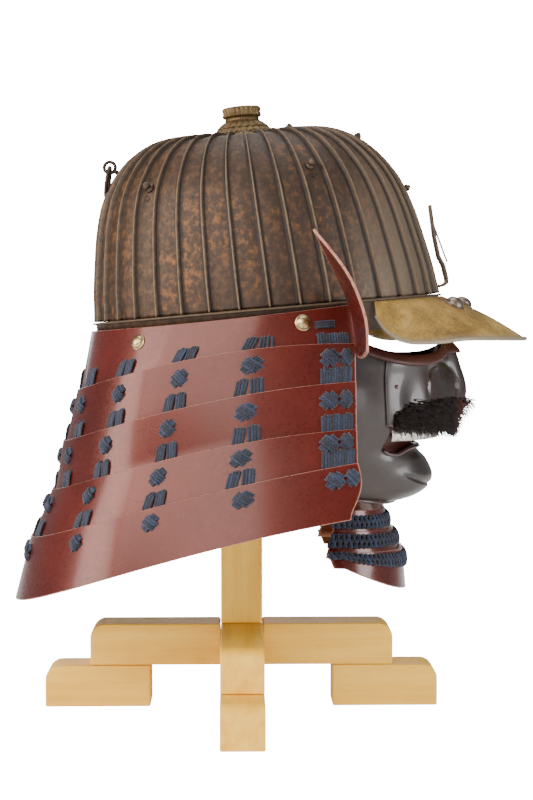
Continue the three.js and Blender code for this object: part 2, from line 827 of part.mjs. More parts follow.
function evenAngles(from, to, steps) {
  return Array.from({ length: steps + 1 }, (_, step) => THREE.MathUtils.lerp(from, to, step / steps));
}

// Cheeks and chin in one piece. It rises to the eyes beside the nose piece, and to the lower lip below it.
function buildCheeks() {
  const { sideAngle, seamAngle } = MASK;
  const cheek = evenAngles(seamAngle, sideAngle, 5).reverse();
  const chin = evenAngles(0, seamAngle - 0.5, 9).reverse();
  const half = [...cheek, ...chin];
  const angles = [...half.map((angle) => -angle), ...half.slice(0, -1).reverse()];
  const low = (angle) => MASK.rows[0][0] + 0.002 * Math.max(0, Math.abs(angle) - 30) ** 2;
  const high = (angle) => (Math.abs(angle) >= seamAngle ? eyeEdge(angle) : lipEdge(angle));
  return maskSheet(angles, low, high, 10);
}

function buildNosePiece() {
  const limit = MASK.seamAngle - 1.6;
  const angles = evenAngles(-limit, limit, 20);
  return maskSheet(angles, (angle) => MASK.upperLip + 0.001 * angle ** 2, eyeEdge, 9);
}

// The moustache's outer form, a thick crescent lying on the upper lip.
function buildMoustache() {
  const steps = 14;
  const stations = [];
  for (let step = 0; step <= steps; step++) {
    const angle = THREE.MathUtils.lerp(-40, 40, step / steps);
    const middle = 1 - (angle / 46) ** 2;
    const tall = 4 + 8 * middle;
    const deep = 2.5 + 7.5 * middle;
    const root = maskPoint(angle, 243);
    const out = new THREE.Vector3(root.x, root.y + MASK.back, 0).normalize();
    const centre = root.addScaledVector(out, deep + 1.2);
    centre.z = 236.4;
    const section = [];
    for (let side = 0; side < 10; side++) {
      const turn = (side * 2 * Math.PI) / 10;
      const point = centre.clone().addScaledVector(out, deep * Math.cos(turn));
      point.z += tall * Math.sin(turn);
      section.push(point);
    }
    stations.push(section);
  }
  return sweep(stations);
}

// The row of teeth behind the upper lip.
function buildTeeth() {
  const grid = [[-1.6, 228], [-1.6, 236]].map(([outward, up]) =>
    evenAngles(-44, 44, 12).map((angle) => {
      const point = maskPoint(angle, 240);
      const out = new THREE.Vector3(point.x, point.y + MASK.back, 0).normalize();
      point.addScaledVector(out, outward - MASK.wall - GAP);
      point.z = up;
      return point;
    }),
  );
  return sheet(grid, 1.6, place([MASK.back, 0, 232]));
}

// A point of a throat plate: across from -1 to 1 runs from one rear end round the front to the other.
function throatPoint([wide, back, front, upBack, upFront], across) {
  const angle = across * radians(100);
  const forward = back + (front - back) * Math.max(Math.cos(angle), -0.3);
  const up = THREE.MathUtils.lerp(upBack, upFront, Math.max(Math.cos(angle), 0));
  return place([forward, wide * power(Math.sin(angle), 0.9), up]);
}

function throatSheet(plate, from, to, lift, wall) {
  const grid = [from, (from + to) / 2, to].map((down) => {
    const line = [];
    for (let column = 0; column <= THROAT.columns; column++) {
      const across = (2 * column) / THROAT.columns - 1;
      line.push(throatPoint(plate.top, across).lerp(throatPoint(plate.bottom, across), down));
    }
    return line;
  });
  const inside = place([60, 0, grid[0][0].z]);
  const outer = lift ? offsetGrid(grid, lift, inside) : grid;
  return sheet(outer, wall, inside);
}

// ---- Assembly -----------------------------------------------------------------------------------

const part = new THREE.Group();
const whole = new THREE.Group();
whole.position.y = STAND.back;
part.add(whole);
whole.add(buildStand());

const upright = new THREE.Group();
upright.position.y = -HELMET.forward;
whole.add(upright);

const helmet = new THREE.Group();
helmet.position.set(0, -HELMET.forward, HELMET.up);
helmet.rotation.x = -radians(HELMET.tilt);
whole.add(helmet);

addPiece(helmet, "bowl", buildBowl(), "iron");
addPiece(helmet, "waist_band", buildBand(), "iron");
addPiece(helmet, "finial", buildFinial(), "gilt");
addPiece(helmet, "visor", buildVisor(), "gilt");
addPiece(helmet, "crest_holder", buildCrestHolder(), "darkIron");

const inBowl = place([0, 0, 40]);
const onBowl = (angle, along) => bowlPoint(angle, along, 0);
// Name, the plate counted from the back that it stands on, and how far up from rim to crown.
const posts = [
  ["back_right", 5, 0.42], ["back_left", -5, 0.42], ["front_right", 12, 0.45], ["front_left", -12, 0.45],
  ["crown", 19, 0.85], ["upper", 19, 0.61], ["lower", 19, 0.36],
];
for (const [name, plate, along] of posts) {
  const angle = (-plate * 2 * Math.PI) / BOWL.plates;
  const mesh = addPiece(helmet, "post_" + name, postGeometry(), "darkIron");
  seat(mesh, onBowl(angle, along), surfaceNormal(onBowl, angle, along, inBowl), 0.6);
}

const underVisor = place([120, 0, -150]);
for (const [name, across] of [["right", -0.3], ["centre", 0], ["left", 0.3]]) {
  const mesh = addPiece(helmet, "visor_rivet_" + name, domeGeometry(7.5, 5), "polished");
  seat(mesh, visorPoint(across, 0.28), surfaceNormal(visorPoint, across, 0.28, underVisor));
}

// The staple and the ring that hangs in it, which carries a cloth badge. The ring rests against the bowl.
const { point: stapleFoot, normal: stapleUp } = stapleSeat();
seat(addPiece(helmet, "ring_staple", buildStaple(), "darkIron"), stapleFoot, stapleUp);
const flagRing = addPiece(helmet, "flag_ring", buildRing(), "darkIron");
flagRing.position.copy(ringPivot());
flagRing.rotation.x = radians(HELMET.tilt);

const neckInside = place([0, 0, 250]);
addPiece(upright, "neck_plate_1", sheet(firstPlateGrid(), NECK.wall, neckInside), "redLacquer");
for (let plate = 1; plate < NECK.edges.length - 1; plate++) {
  const geometry = sheet(plateGrid(plate), NECK.wall, neckInside);
  addPiece(upright, "neck_plate_" + (plate + 1), geometry, "redLacquer");
}

const onFirstPlate = (across, down) => platePoint(0, across, down);
for (const [name, across, down] of [["front", 0.87, 0.36], ["back", 0.417, 0.32]]) {
  for (const [side, sign] of [["left", 1], ["right", -1]]) {
    const mesh = addPiece(upright, "plate_rivet_" + name + "_" + side, domeGeometry(6.5, 4), "gilt");
    const normal = surfaceNormal(onFirstPlate, sign * across, down, neckInside);
    seat(mesh, onFirstPlate(sign * across, down), normal);
  }
}

LACE.columns.forEach((across, index) => {
  const wide = index === LACE.columns.length - 1 ? LACE.frontWide : LACE.wide;
  const sides = index === 0 ? [["", 1]] : [["_left", 1], ["_right", -1]];
  for (const [side, sign] of sides) {
    addPiece(upright, "lace_" + index + side, buildLace(sign * across, wide), "silk");
  }
});

addPiece(upright, "mask_rest", buildMaskRest(), "wood");
addPiece(upright, "mask_cheeks", buildCheeks(), "brownLacquer");
addPiece(upright, "mask_nose", buildNosePiece(), "brownLacquer");
addPiece(upright, "moustache", buildMoustache(), "bristle");
addPiece(upright, "teeth", buildTeeth(), "silver");
THROAT.plates.forEach((plate, index) => {
  addPiece(upright, "throat_plate_" + (index + 1), throatSheet(plate, 0, 1, 0, THROAT.wall), "redLacquer");
});
addPiece(upright, "throat_lacing_1", throatSheet(THROAT.plates[1], 0.2, 0.85, 2.2, 1.6), "silk");
addPiece(upright, "throat_lacing_2", throatSheet(THROAT.plates[2], 0.1, 0.45, 2.2, 1.6), "silk");

export default part;
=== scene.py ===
"""A ribbed iron samurai helmet with its laced neck guard and face guard, on a plain wooden cross stand.

Sizes are fields in millimetres and become metres when a mesh is made. A local point is given as forward, side
and up: forward is the way the helmet faces (-Y of the row) and side is +X, the wearer's left.
"""

import logging
from collections.abc import Callable, Sequence
from dataclasses import dataclass, field
from enum import Enum
from math import acos, copysign, cos, exp, hypot, pi, radians, sin
from random import Random

import bmesh
import bpy
from mathutils import Matrix, Vector


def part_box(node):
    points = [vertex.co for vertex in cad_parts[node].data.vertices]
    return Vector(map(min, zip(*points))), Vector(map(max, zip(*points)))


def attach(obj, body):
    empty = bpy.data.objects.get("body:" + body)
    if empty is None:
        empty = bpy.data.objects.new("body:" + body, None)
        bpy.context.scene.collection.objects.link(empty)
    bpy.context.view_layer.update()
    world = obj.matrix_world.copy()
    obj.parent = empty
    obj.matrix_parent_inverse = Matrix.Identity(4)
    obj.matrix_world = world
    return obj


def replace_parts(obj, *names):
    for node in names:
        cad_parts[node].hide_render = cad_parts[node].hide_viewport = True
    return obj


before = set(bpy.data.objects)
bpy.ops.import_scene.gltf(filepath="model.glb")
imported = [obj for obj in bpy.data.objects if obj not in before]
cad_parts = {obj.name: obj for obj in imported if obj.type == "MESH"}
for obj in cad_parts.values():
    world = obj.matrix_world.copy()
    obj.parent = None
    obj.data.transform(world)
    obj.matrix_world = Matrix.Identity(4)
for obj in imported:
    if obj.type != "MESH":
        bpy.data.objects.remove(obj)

LOG = logging.getLogger("samurai_helmet")
MM = 0.001  # metres in a millimetre
GAP = 0.4  # millimetres between pieces that touch
HELMET = "helmet"
FLAG_RING = "flag_ring"
WEAR_AND_LIT_HAIR_TIPS = "wear"  # mesh attribute: 1 where hands and rubbing have bared an edge; on the moustache, painted light shining through the hair tips
TONE_AND_GROOVE_SHADE = "tone"  # mesh attribute: a slow change of shade from strand to strand; on the bowl, painted shade in the grooves beside the ribs

Grid = list[list[Vector]]
Surface = Callable[[float, float], Vector]
Height = Callable[[float], float]
Wear = Callable[[int, int], float]
Profile = Sequence[tuple[float, float]]
Socket = bpy.types.NodeSocket
UP = Vector((0, 0, 1))
SIDES = (("left", 1), ("right", -1))


# ---- Points, curves and solids ----


def place(forward: float, side: float, up: float) -> Vector:
    """Returns a local point given as forward, side and up."""
    return Vector((side, -forward, up))


def mix(a: float, b: float, share: float) -> float:
    """Returns the number that lies at share between a (0) and b (1)."""
    return a + (b - a) * share


def clamp(value: float, low: float = 0.0, high: float = 1.0) -> float:
    """Returns the value kept between low and high."""
    return max(low, min(high, value))


def signed_power(value: float, exponent: float) -> float:
    """Returns a power that keeps its base's sign, for rounded-square plans."""
    return copysign(abs(value) ** exponent, value)


def bell(value: float, spread: float) -> float:
    """Returns a smooth bump of height 1 at 0."""
    return exp(-((value / spread) ** 2))


def spline(points: Sequence[Sequence[float]], share: float) -> list[float]:
    """Reads a smooth curve that passes through the points.

    Args:
        points: The curve's points, each with the same count of numbers.
        share: 0 at the first point and 1 at the last, with equal steps from point to point.

    Returns:
        The numbers of the point there.
    """
    last = len(points) - 1
    where = clamp(share) * last
    index = min(int(where), last - 1)
    t = where - index
    ends = [points[max(0, min(last, index + step))] for step in (-1, 0, 1, 2)]
    found = []
    for a, b, c, d in zip(*ends):
        start, end = (c - a) / 2, (d - b) / 2
        cubic, square = 2 * b - 2 * c + start + end, 3 * c - 3 * b - 2 * start - end
        found.append(cubic * t**3 + square * t**2 + start * t + b)
    return found


def read_table(rows: Sequence[Sequence[float]], x: float, column: int = 1) -> float:
    """Reads a smooth table of rising first numbers at x.

    Args:
        rows: Lines of x and the values there.
        x: Where to read.
        column: Which of a line's values to read.

    Returns:
        The value at x.
    """
    low, high = 0.0, 1.0
    pairs = [(row[0], row[column]) for row in rows]
    for _ in range(24):
        middle = (low + high) / 2
        if spline(pairs, middle)[0] < x:
            low = middle
        else:
            high = middle
    return spline(pairs, low)[1]


def surface_normal(surface: Surface, a: float, b: float, inside: Vector) -> Vector:
    """Finds the unit normal of a surface.

    Args:
        surface: Gives a point of the surface for two numbers.
        a: The first number.
        b: The second number.
        inside: A point that the normal turns away from.

    Returns:
        The normal at (a, b).
    """
    small = 2e-3
    across = surface(a + small, b) - surface(a - small, b)
    along = surface(a, b + small) - surface(a, b - small)
    normal = across.cross(along).normalized()
    return -normal if normal.dot(surface(a, b) - inside) < 0 else normal


def grid_normals(grid: Grid, inside: Vector) -> Grid:
    """Finds a normal for each point of a grid.

    Args:
        grid: Rows of points.
        inside: A point on the inner side of the grid's middle.

    Returns:
        A grid of unit normals that point away from inside.
    """
    rows, columns = len(grid), len(grid[0])
    normals: Grid = []
    for row in range(rows):
        line = []
        for column in range(columns):
            along = grid[row][min(column + 1, columns - 1)] - grid[row][max(column - 1, 0)]
            down = grid[min(row + 1, rows - 1)][column] - grid[max(row - 1, 0)][column]
            line.append(along.cross(down).normalized())
        normals.append(line)
    mid_row, mid_column = rows // 2, columns // 2
    flip = normals[mid_row][mid_column].dot(grid[mid_row][mid_column] - inside) < 0
    return [[-normal if flip else normal for normal in line] for line in normals]


def offset_grid(grid: Grid, distance: float, inside: Vector) -> Grid:
    """Returns the grid moved along its own normals, away from inside where distance is positive."""
    normals = grid_normals(grid, inside)
    return [[p + n * distance for p, n in zip(line, ns)] for line, ns in zip(grid, normals)]


def tube_frame(path: Sequence[Vector], up: Vector) -> list[tuple[Vector, Vector]]:
    """Finds the two directions across a path at each of its points.

    Args:
        path: The points of the path.
        up: A direction that the first of the two stays closest to.

    Returns:
        For each point, the direction nearest to up and the one square to it.
    """
    frames = []
    for index in range(len(path)):
        ahead = (path[min(index + 1, len(path) - 1)] - path[max(index - 1, 0)]).normalized()
        side = ahead.cross(up)
        side = side.normalized() if side.length > 1e-6 else ahead.orthogonal().normalized()
        frames.append((side.cross(ahead).normalized(), side))
    return frames


@dataclass
class Solid:
    """A mesh in the making: points in millimetres, faces, and how worn and how light each point is."""

    points: list[Vector] = field(default_factory=list)
    faces: list[tuple[int, ...]] = field(default_factory=list)
    wear: list[float] = field(default_factory=list)
    tone: list[float] = field(default_factory=list)

    def add_points(self, points: Sequence[Vector], wear: float = 0.0, tone: float = 0.5) -> int:
        """Adds points.

        Args:
            points: The points.
            wear: How worn they are.
            tone: How light they are.

        Returns:
            The index of the first.
        """
        first = len(self.points)
        self.points.extend(points)
        self.wear.extend([wear] * len(points))
        self.tone.extend([tone] * len(points))
        return first

    def shell(
        self,
        outer: Grid,
        inner: Grid,
        closed: bool = False,
        wear: Wear | None = None,
        has: Callable[[int, int], bool] | None = None,
    ) -> None:
        """Adds the closed solid between two grids of one size.

        Args:
            outer: The outer face.
            inner: The inner face.
            closed: Whether each row goes all the way round.
            wear: How worn the point at a row and column is.
            has: Whether the cell after a row and column is there, if some are left out.
        """
        rows, columns = len(outer), len(outer[0])
        starts = []
        for grid in (outer, inner):
            starts.append(len(self.points))
            for row, line in enumerate(grid):
                for column, point in enumerate(line):
                    self.add_points([point], wear(row, column) if wear else 0.0)
        last = columns if closed else columns - 1

        def at(layer: int, row: int, column: int) -> int:
            """Returns the index of a grid point."""
            return starts[layer] + row * columns + column % columns

        def there(row: int, column: int) -> bool:
            """Returns whether a cell is inside the grid and not left out."""
            column = column % columns if closed else column
            return 0 <= row < rows - 1 and 0 <= column < last and (has is None or has(row, column))

        for row in range(rows - 1):
            for column in range(last):
                if not there(row, column):
                    continue
                corners = ((row, column), (row, column + 1), (row + 1, column + 1), (row + 1, column))
                self.faces.append(tuple(at(0, *corner) for corner in corners))
                self.faces.append(tuple(at(1, *corner) for corner in reversed(corners)))
                beside = ((row - 1, column), (row, column + 1), (row + 1, column), (row, column - 1))
                for side, (next_row, next_column) in enumerate(beside):
                    if not there(next_row, next_column):
                        a, b = corners[side], corners[(side + 1) % 4]
                        self.faces.append((at(1, *a), at(1, *b), at(0, *b), at(0, *a)))

    def sheet(self, grid: Grid, thickness: float, inside: Vector, wear: Wear | None = None) -> None:
        """Adds a sheet of one thickness whose outer face is the grid."""
        self.shell(grid, offset_grid(grid, -thickness, inside), wear=wear)

    def sweep(self, stations: Sequence[Sequence[Vector]], wear: float = 0.0, tone: float = 0.5) -> None:
        """Adds a section swept from station to station, with both ends closed.

        Args:
            stations: The section's points at each station.
            wear: How worn its points are.
            tone: The shade of its points.
        """
        sides = len(stations[0])
        first = self.add_points([point for station in stations for point in station], wear, tone)
        for step in range(len(stations) - 1):
            for side in range(sides):
                after = (side + 1) % sides
                a, b = first + step * sides, first + (step + 1) * sides
                self.faces.append((a + side, a + after, b + after, b + side))
        end = first + (len(stations) - 1) * sides
        self.faces.append(tuple(first + side for side in reversed(range(sides))))
        self.faces.append(tuple(end + side for side in range(sides)))

    def tube(
        self,
        path: Sequence[Vector],
        radius: float | Callable[[float], float],
        up: Vector,
        sides: int = 8,
        flat: float = 1.0,
        tone: float = 0.5,
        wear: float = 0.0,
    ) -> None:
        """Adds a round or flattened tube along a path.

        Args:
            path: Its middle line.
            radius: Its radius, or the radius at a share of the way along.
            up: The direction of its flattened height.
            sides: How many sides its section has.
            flat: Its height as a share of its width.
            tone: The shade of its points.
            wear: How worn its points are.
        """
        stations = []
        for index, (point, (high, wide)) in enumerate(zip(path, tube_frame(path, up))):
            size = radius(index / (len(path) - 1)) if callable(radius) else radius
            turns = [2 * pi * side / sides for side in range(sides)]
            stations.append(
                [point + wide * size * cos(t) + high * size * flat * sin(t) for t in turns]
            )
        self.sweep(stations, wear, tone)

    def ring(
        self, centre: Vector, axis: Vector, radius: float, wire: float, around: int = 48, sides: int = 14
    ) -> None:
        """Adds a ring of round wire.

        Args:
            centre: Its middle.
            axis: The direction square to its plane.
            radius: From its middle to the middle of the wire.
            wire: The wire's radius.
            around: How many stations go round it.
            sides: How many sides the wire has.
        """
        axis = axis.normalized()
        first_way = axis.orthogonal().normalized()
        second_way = axis.cross(first_way)
        grid: Grid = []
        for step in range(around):
            turn = 2 * pi * step / around
            out = first_way * cos(turn) + second_way * sin(turn)
            turns = [2 * pi * side / sides for side in range(sides)]
            grid.append(
                [centre + out * (radius + wire * cos(t)) + axis * wire * sin(t) for t in turns]
            )
        first = self.add_points([point for line in grid for point in line])
        for step in range(around):
            for side in range(sides):
                a, b = first + step * sides, first + (step + 1) % around * sides
                after = (side + 1) % sides
                self.faces.append((a + side, b + side, b + after, a + after))

    def lathe(
        self,
        profile: Profile,
        base: Vector,
        axis: Vector,
        sides: int = 48,
        swell: Callable[[float, float, int], float] | None = None,
        wear: Callable[[int], float] | None = None,
    ) -> None:
        """Adds a turned solid.

        Args:
            profile: Radius and height from the bottom to the top, with radius 0 where it closes on the axis.
            base: The point of height 0 on the axis.
            axis: The direction of height.
            sides: How many sides it has.
            swell: What is added to the radius at a turn in radians, a height and a line of the profile.
            wear: How worn a line of the profile is.
        """
        axis = axis.normalized()
        first_way = axis.orthogonal().normalized()
        second_way = axis.cross(first_way)
        first = len(self.points)
        for line, (radius, up) in enumerate(profile):
            for side in range(sides):
                turn = 2 * pi * side / sides
                reach = radius + (swell(turn, up, line) if swell and radius else 0.0)
                out = first_way * cos(turn) + second_way * sin(turn)
                self.add_points([base + out * reach + axis * up], wear(line) if wear else 0.0)
        for line in range(len(profile) - 1):
            for side in range(sides):
                after = (side + 1) % sides
                a, b = first + line * sides, first + (line + 1) * sides
                self.faces.append((a + side, a + after, b + after, b + side))
        if profile[0] != profile[-1]:
            end = first + (len(profile) - 1) * sides
            self.faces.append(tuple(first + side for side in reversed(range(sides))))
            self.faces.append(tuple(end + side for side in range(sides)))

    def make(
        self,
        name: str,
        finish: "Finish",
        frame_of: Matrix,
        body: str = HELMET,
        bevel: float = 0.0,
        smooth: bool = True,
    ) -> bpy.types.Object:
        """Turns the solid into a piece of the object.

        Args:
            name: The piece's name.
            finish: Its material.
            frame_of: From local millimetres to row metres.
            body: The body that it moves with.
            bevel: Millimetres by which its sharp edges are rounded, or 0.
            smooth: Whether its faces are shaded as one smooth surface.

        Returns:
            The new object.
        """
        mesh = bpy.data.meshes.new(name)
        mesh.from_pydata([frame_of @ point for point in self.points], [], self.faces)
        for attribute, values in ((WEAR_AND_LIT_HAIR_TIPS, self.wear), (TONE_AND_GROOVE_SHADE, self.tone)):
            mesh.attributes.new(attribute, "FLOAT", "POINT").data.foreach_set("value", values)
        merge_doubles(mesh)
        mesh.shade_smooth() if smooth else mesh.shade_flat()
        mesh.materials.append(finish.material())
        piece = bpy.data.objects.new(name, mesh)
        bpy.context.scene.collection.objects.link(piece)
        if bevel:
            rounding = piece.modifiers.new("rounded_edges", "BEVEL")
            rounding.width = bevel * MM
            rounding.segments = 2
            rounding.limit_method = "ANGLE"
            rounding.angle_limit = radians(40)
        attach(piece, body)
        LOG.info("made %s with %d faces", name, len(mesh.polygons))
        return piece


def merge_doubles(mesh: bpy.types.Mesh) -> None:
    """Drops unused points, joins points at one place and turns every face outwards.

    Args:
        mesh: The mesh that is cleaned.
    """
    work = bmesh.new()
    work.from_mesh(mesh)
    bmesh.ops.delete(work, geom=[point for point in work.verts if not point.link_faces], context="VERTS")
    bmesh.ops.remove_doubles(work, verts=work.verts, dist=1e-6)
    bmesh.ops.recalc_face_normals(work, faces=work.faces)
    work.to_mesh(mesh)
    work.free()


# ---- Finishes ----


def colour(hex_value: str) -> tuple[float, float, float, float]:
    """Turns an sRGB colour into a linear one.

    Args:
        hex_value: The colour, such as #7c2f27.

    Returns:
        Linear red, green, blue and an alpha of 1.
    """
    channels = [int(hex_value[start : start + 2], 16) / 255 for start in (1, 3, 5)]
    linear = [c / 12.92 if c <= 0.04045 else ((c + 0.055) / 1.055) ** 2.4 for c in channels]
    return (*linear, 1.0)


def add_node(
    tree: bpy.types.NodeTree,
    kind: str,
    settings: dict[str, object] | None = None,
    links: dict[str, Socket] | None = None,
) -> bpy.types.Node:
    """Adds a node with its settings and links.

    Args:
        tree: The material's node tree.
        kind: The node's type name.
        settings: Values by the name or number of an input, or else by the name of a property, with stops for
            the stops of a colour ramp.
        links: Output sockets to join, by the name or the number of the input.

    Returns:
        The new node.
    """
    node = tree.nodes.new(kind)
    for name, value in (settings or {}).items():
        if name in node.inputs:
            node.inputs[name].default_value = value
        elif name == "stops":
            set_stops(node.color_ramp, value)
        elif name.isdigit():
            node.inputs[int(name)].default_value = value
        else:
            setattr(node, name, value)
    for name, socket in (links or {}).items():
        tree.links.new(socket, node.inputs[int(name) if name.isdigit() else name])
    return node


def set_stops(ramp: bpy.types.ColorRamp, stops: Sequence[tuple[float, str]]) -> None:
    """Sets the stops of a colour ramp.

    Args:
        ramp: The ramp.
        stops: Each stop's place and hex colour.
    """
    while len(ramp.elements) < len(stops):
        ramp.elements.new(1.0)
    for element, (where, hex_value) in zip(ramp.elements, stops):
        element.position = where
        element.color = colour(hex_value)


@dataclass
class Recipe:
    """The node tree of a material while it is being put together."""

    tree: bpy.types.NodeTree
    shader: bpy.types.Node
    place: Socket

    def noise(
        self, size: float, detail: float, rough: float, stretch: tuple[float, float, float] = (1.0, 1.0, 1.0)
    ) -> Socket:
        """Adds a noise.

        Args:
            size: How many millimetres its patches are across.
            detail: How many finer layers it has.
            rough: How strong the finer layers are.
            stretch: Its scale on each axis.

        Returns:
            Its value.
        """
        mapped = add_node(self.tree, "ShaderNodeMapping", {"Scale": stretch}, {"Vector": self.place})
        settings = {"Scale": 1 / (size * MM), "Detail": detail, "Roughness": rough}
        return add_node(self.tree, "ShaderNodeTexNoise", settings, {"Vector": mapped.outputs[0]}).outputs[0]

    def attribute(self, name: str) -> Socket:
        """Returns a number stored on the mesh."""
        return add_node(self.tree, "ShaderNodeAttribute", {"attribute_name": name}).outputs["Fac"]

    def ramp(self, value: Socket, stops: Sequence[tuple[float, str]]) -> Socket:
        """Returns a colour read from stops of place and hex colour."""
        return add_node(self.tree, "ShaderNodeValToRGB", {"stops": stops}, {"Fac": value}).outputs[0]

    def band(
        self, value: Socket, low: float, high: float, to_low: float = 0.0, to_high: float = 1.0
    ) -> Socket:
        """Returns the value with low to high stretched over to_low to to_high, clamped."""
        settings = {"From Min": low, "From Max": high, "To Min": to_low, "To Max": to_high}
        return add_node(self.tree, "ShaderNodeMapRange", settings, {"Value": value}).outputs[0]

    def maths(self, operation: str, a: Socket, b: Socket | float) -> Socket:
        """Adds a sum, product or the like of two numbers.

        Args:
            operation: What is done with them.
            a: The first number.
            b: The second number, as a socket or a plain value.

        Returns:
            The result.
        """
        settings, links = {"operation": operation}, {"0": a}
        (links if isinstance(b, Socket) else settings)["1"] = b
        return add_node(self.tree, "ShaderNodeMath", settings, links).outputs[0]

    def blend(self, share: Socket | float, under: Socket | str, over: Socket | str) -> Socket:
        """Adds a blend of two colours, each a socket or a hex colour.

        Args:
            share: From 0, all under, to 1, all over.
            under: The colour below.
            over: The colour laid on it.

        Returns:
            The blended colour.
        """
        node = add_node(self.tree, "ShaderNodeMix", {"data_type": "RGBA"})
        if isinstance(share, float):
            node.inputs[0].default_value = share
        else:
            self.tree.links.new(share, node.inputs[0])
        for index, side in ((6, under), (7, over)):
            if isinstance(side, str):
                node.inputs[index].default_value = colour(side)
            else:
                self.tree.links.new(side, node.inputs[index])
        return node.outputs[2]

    def axis(self, letter: str) -> Socket:
        """Returns the place along one of the row's axes, in metres."""
        return add_node(self.tree, "ShaderNodeSeparateXYZ", None, {"Vector": self.place}).outputs[letter]

    def emboss(self, *layers: tuple[Socket, float, float]) -> None:
        """Adds bumps to the surface.

        Args:
            layers: Each bump's height, depth in millimetres and strength.
        """
        normal: Socket | None = None
        for value, depth, strength in layers:
            settings = {"Distance": depth * MM, "Strength": strength}
            links = {"Height": value} | ({"Normal": normal} if normal else {})
            normal = add_node(self.tree, "ShaderNodeBump", settings, links).outputs[0]
        self.tree.links.new(normal, self.shader.inputs["Normal"])

    def set(self, **sockets: Socket) -> None:
        """Joins sockets to the shader.

        Args:
            sockets: The socket for each of base, rough and metal that the finish varies.
        """
        names = {"base": "Base Color", "rough": "Roughness", "metal": "Metallic"}
        for key, socket in sockets.items():
            self.tree.links.new(socket, self.shader.inputs[names[key]])


@dataclass(frozen=True)
class Finish:
    """A material: its name, the record's slot, and the shader's plain values."""

    name: str
    slot: str
    roughness: float = 0.5
    metallic: float = 0.0
    coat: float = 0.0
    coat_roughness: float = 0.1
    ior: float = 1.5
    sheen: float = 0.0

    def material(self) -> bpy.types.Material:
        """Returns the material, made the first time it is asked for."""
        made = bpy.data.materials.get(self.name)
        if made:
            return made
        made = bpy.data.materials.new(self.name)
        made.use_nodes = True
        tree = made.node_tree
        shader = tree.nodes["Principled BSDF"]
        plain = {
            "Roughness": self.roughness,
            "Metallic": self.metallic,
            "Coat Weight": self.coat,
            "Coat Roughness": self.coat_roughness,
            "IOR": self.ior,
            "Sheen Weight": self.sheen,
        }
        for name, value in plain.items():
            shader.inputs[name].default_value = value
        place_of = add_node(tree, "ShaderNodeTexCoord").outputs["Object"]
        self.paint(Recipe(tree, shader, place_of))
        return made

    def paint(self, recipe: Recipe) -> None:
        """Adds the pattern of the finish to the recipe."""
        raise NotImplementedError(self.name)


class Grain(Enum):
    """The axis that a bar's grain runs along, as the scale of its pattern on X, Y and Z."""

    ALONG_X = (0.06, 1.0, 1.0)
    ALONG_Y = (1.0, 0.06, 1.0)
    ALONG_Z = (1.0, 1.0, 0.06)


@dataclass(frozen=True)
class PlanedWood(Finish):
    """Pale rubberwood, planed and left bare: a dull surface with fine short pores along the grain."""

    grain: Grain = Grain.ALONG_X
    ring_width: float = 9.0  # between growth rings
    pore: float = 1.1  # width of a pore, drawn coarser than the real 0.2 so that it shows

    def paint(self, recipe: Recipe) -> None:
        """Bands of growth, pores and a slow warm drift of colour.

        Args:
            recipe: The material being made.
        """
        stretch = self.grain.value
        bands = recipe.noise(self.ring_width, 3.0, 0.5, stretch)
        base = recipe.ramp(bands, [(0.3, "#e6ae30"), (0.5, "#efba3c"), (0.7, "#f4c44a")])
        pores = recipe.noise(self.pore, 2.0, 0.6, stretch)
        dark = recipe.band(pores, 0.58, 0.72, 0.0, 0.25)
        base = recipe.blend(dark, base, "#8f6426")
        recipe.set(base=base, rough=recipe.band(pores, 0.35, 0.7, 0.42, 0.6))
        recipe.emboss((pores, -0.12, 0.5))


@dataclass(frozen=True)
class RussetIron(Finish):
    """Hammered iron with an oiled rust patina: brown with ochre bloom, bare steel on rubbed ribs, and painted
    shade in the grooves beside the ribs.
    """

    shade: float = 0.0  # 0 for the bowl, towards 1 for the darker band

    def paint(self, recipe: Recipe) -> None:
        """Brown mottling, ochre and orange rust, darker to the front right, with rubbed rib edges and painted
        shade in the grooves at the ribs' feet.

        Args:
            recipe: The material being made.
        """
        broad = recipe.noise(60, 3.0, 0.5)
        mottle = recipe.noise(6, 6.0, 0.66)
        speck = recipe.noise(2.0, 5.0, 0.65)
        brown = recipe.ramp(mottle, [(0.3, "#22160e"), (0.5, "#3a2818"), (0.75, "#584027")])
        rust = recipe.ramp(speck, [(0.35, "#6f421c"), (0.6, "#8f5a24"), (0.8, "#a8783a")])
        spots = recipe.band(mottle, 0.5, 0.68, 0.0, 0.7)
        base = recipe.blend(recipe.maths("MULTIPLY", recipe.band(broad, 0.44, 0.62), spots), brown, rust)
        dark = recipe.band(recipe.axis("Y"), -0.02, 0.07, 0.45, 0.0)
        base = recipe.blend(dark, base, "#2e221b")
        pale = recipe.band(recipe.axis("Y"), -0.055, -0.1, 0.0, 0.6)
        base = recipe.blend(pale, base, "#7d6d5a")
        wear = recipe.attribute(WEAR_AND_LIT_HAIR_TIPS)
        bare = recipe.maths("MULTIPLY", wear, recipe.band(mottle, 0.3, 0.55, 0.45, 1.0))
        base = recipe.blend(bare, base, "#66543f")
        # painted shade: near black in the grooves at the ribs' feet, where the tone attribute is low
        foot = recipe.band(recipe.attribute(TONE_AND_GROOVE_SHADE), 0.0, 0.4, 0.92, 0.0)
        base = recipe.blend(foot, base, "#120c08")
        if self.shade:
            base = recipe.blend(self.shade, base, "#2a1f16")
        recipe.set(base=base, rough=recipe.band(speck, 0.3, 0.7, 0.42, 0.68))
        recipe.emboss((mottle, 0.3, 0.35), (speck, 0.1, 0.5))


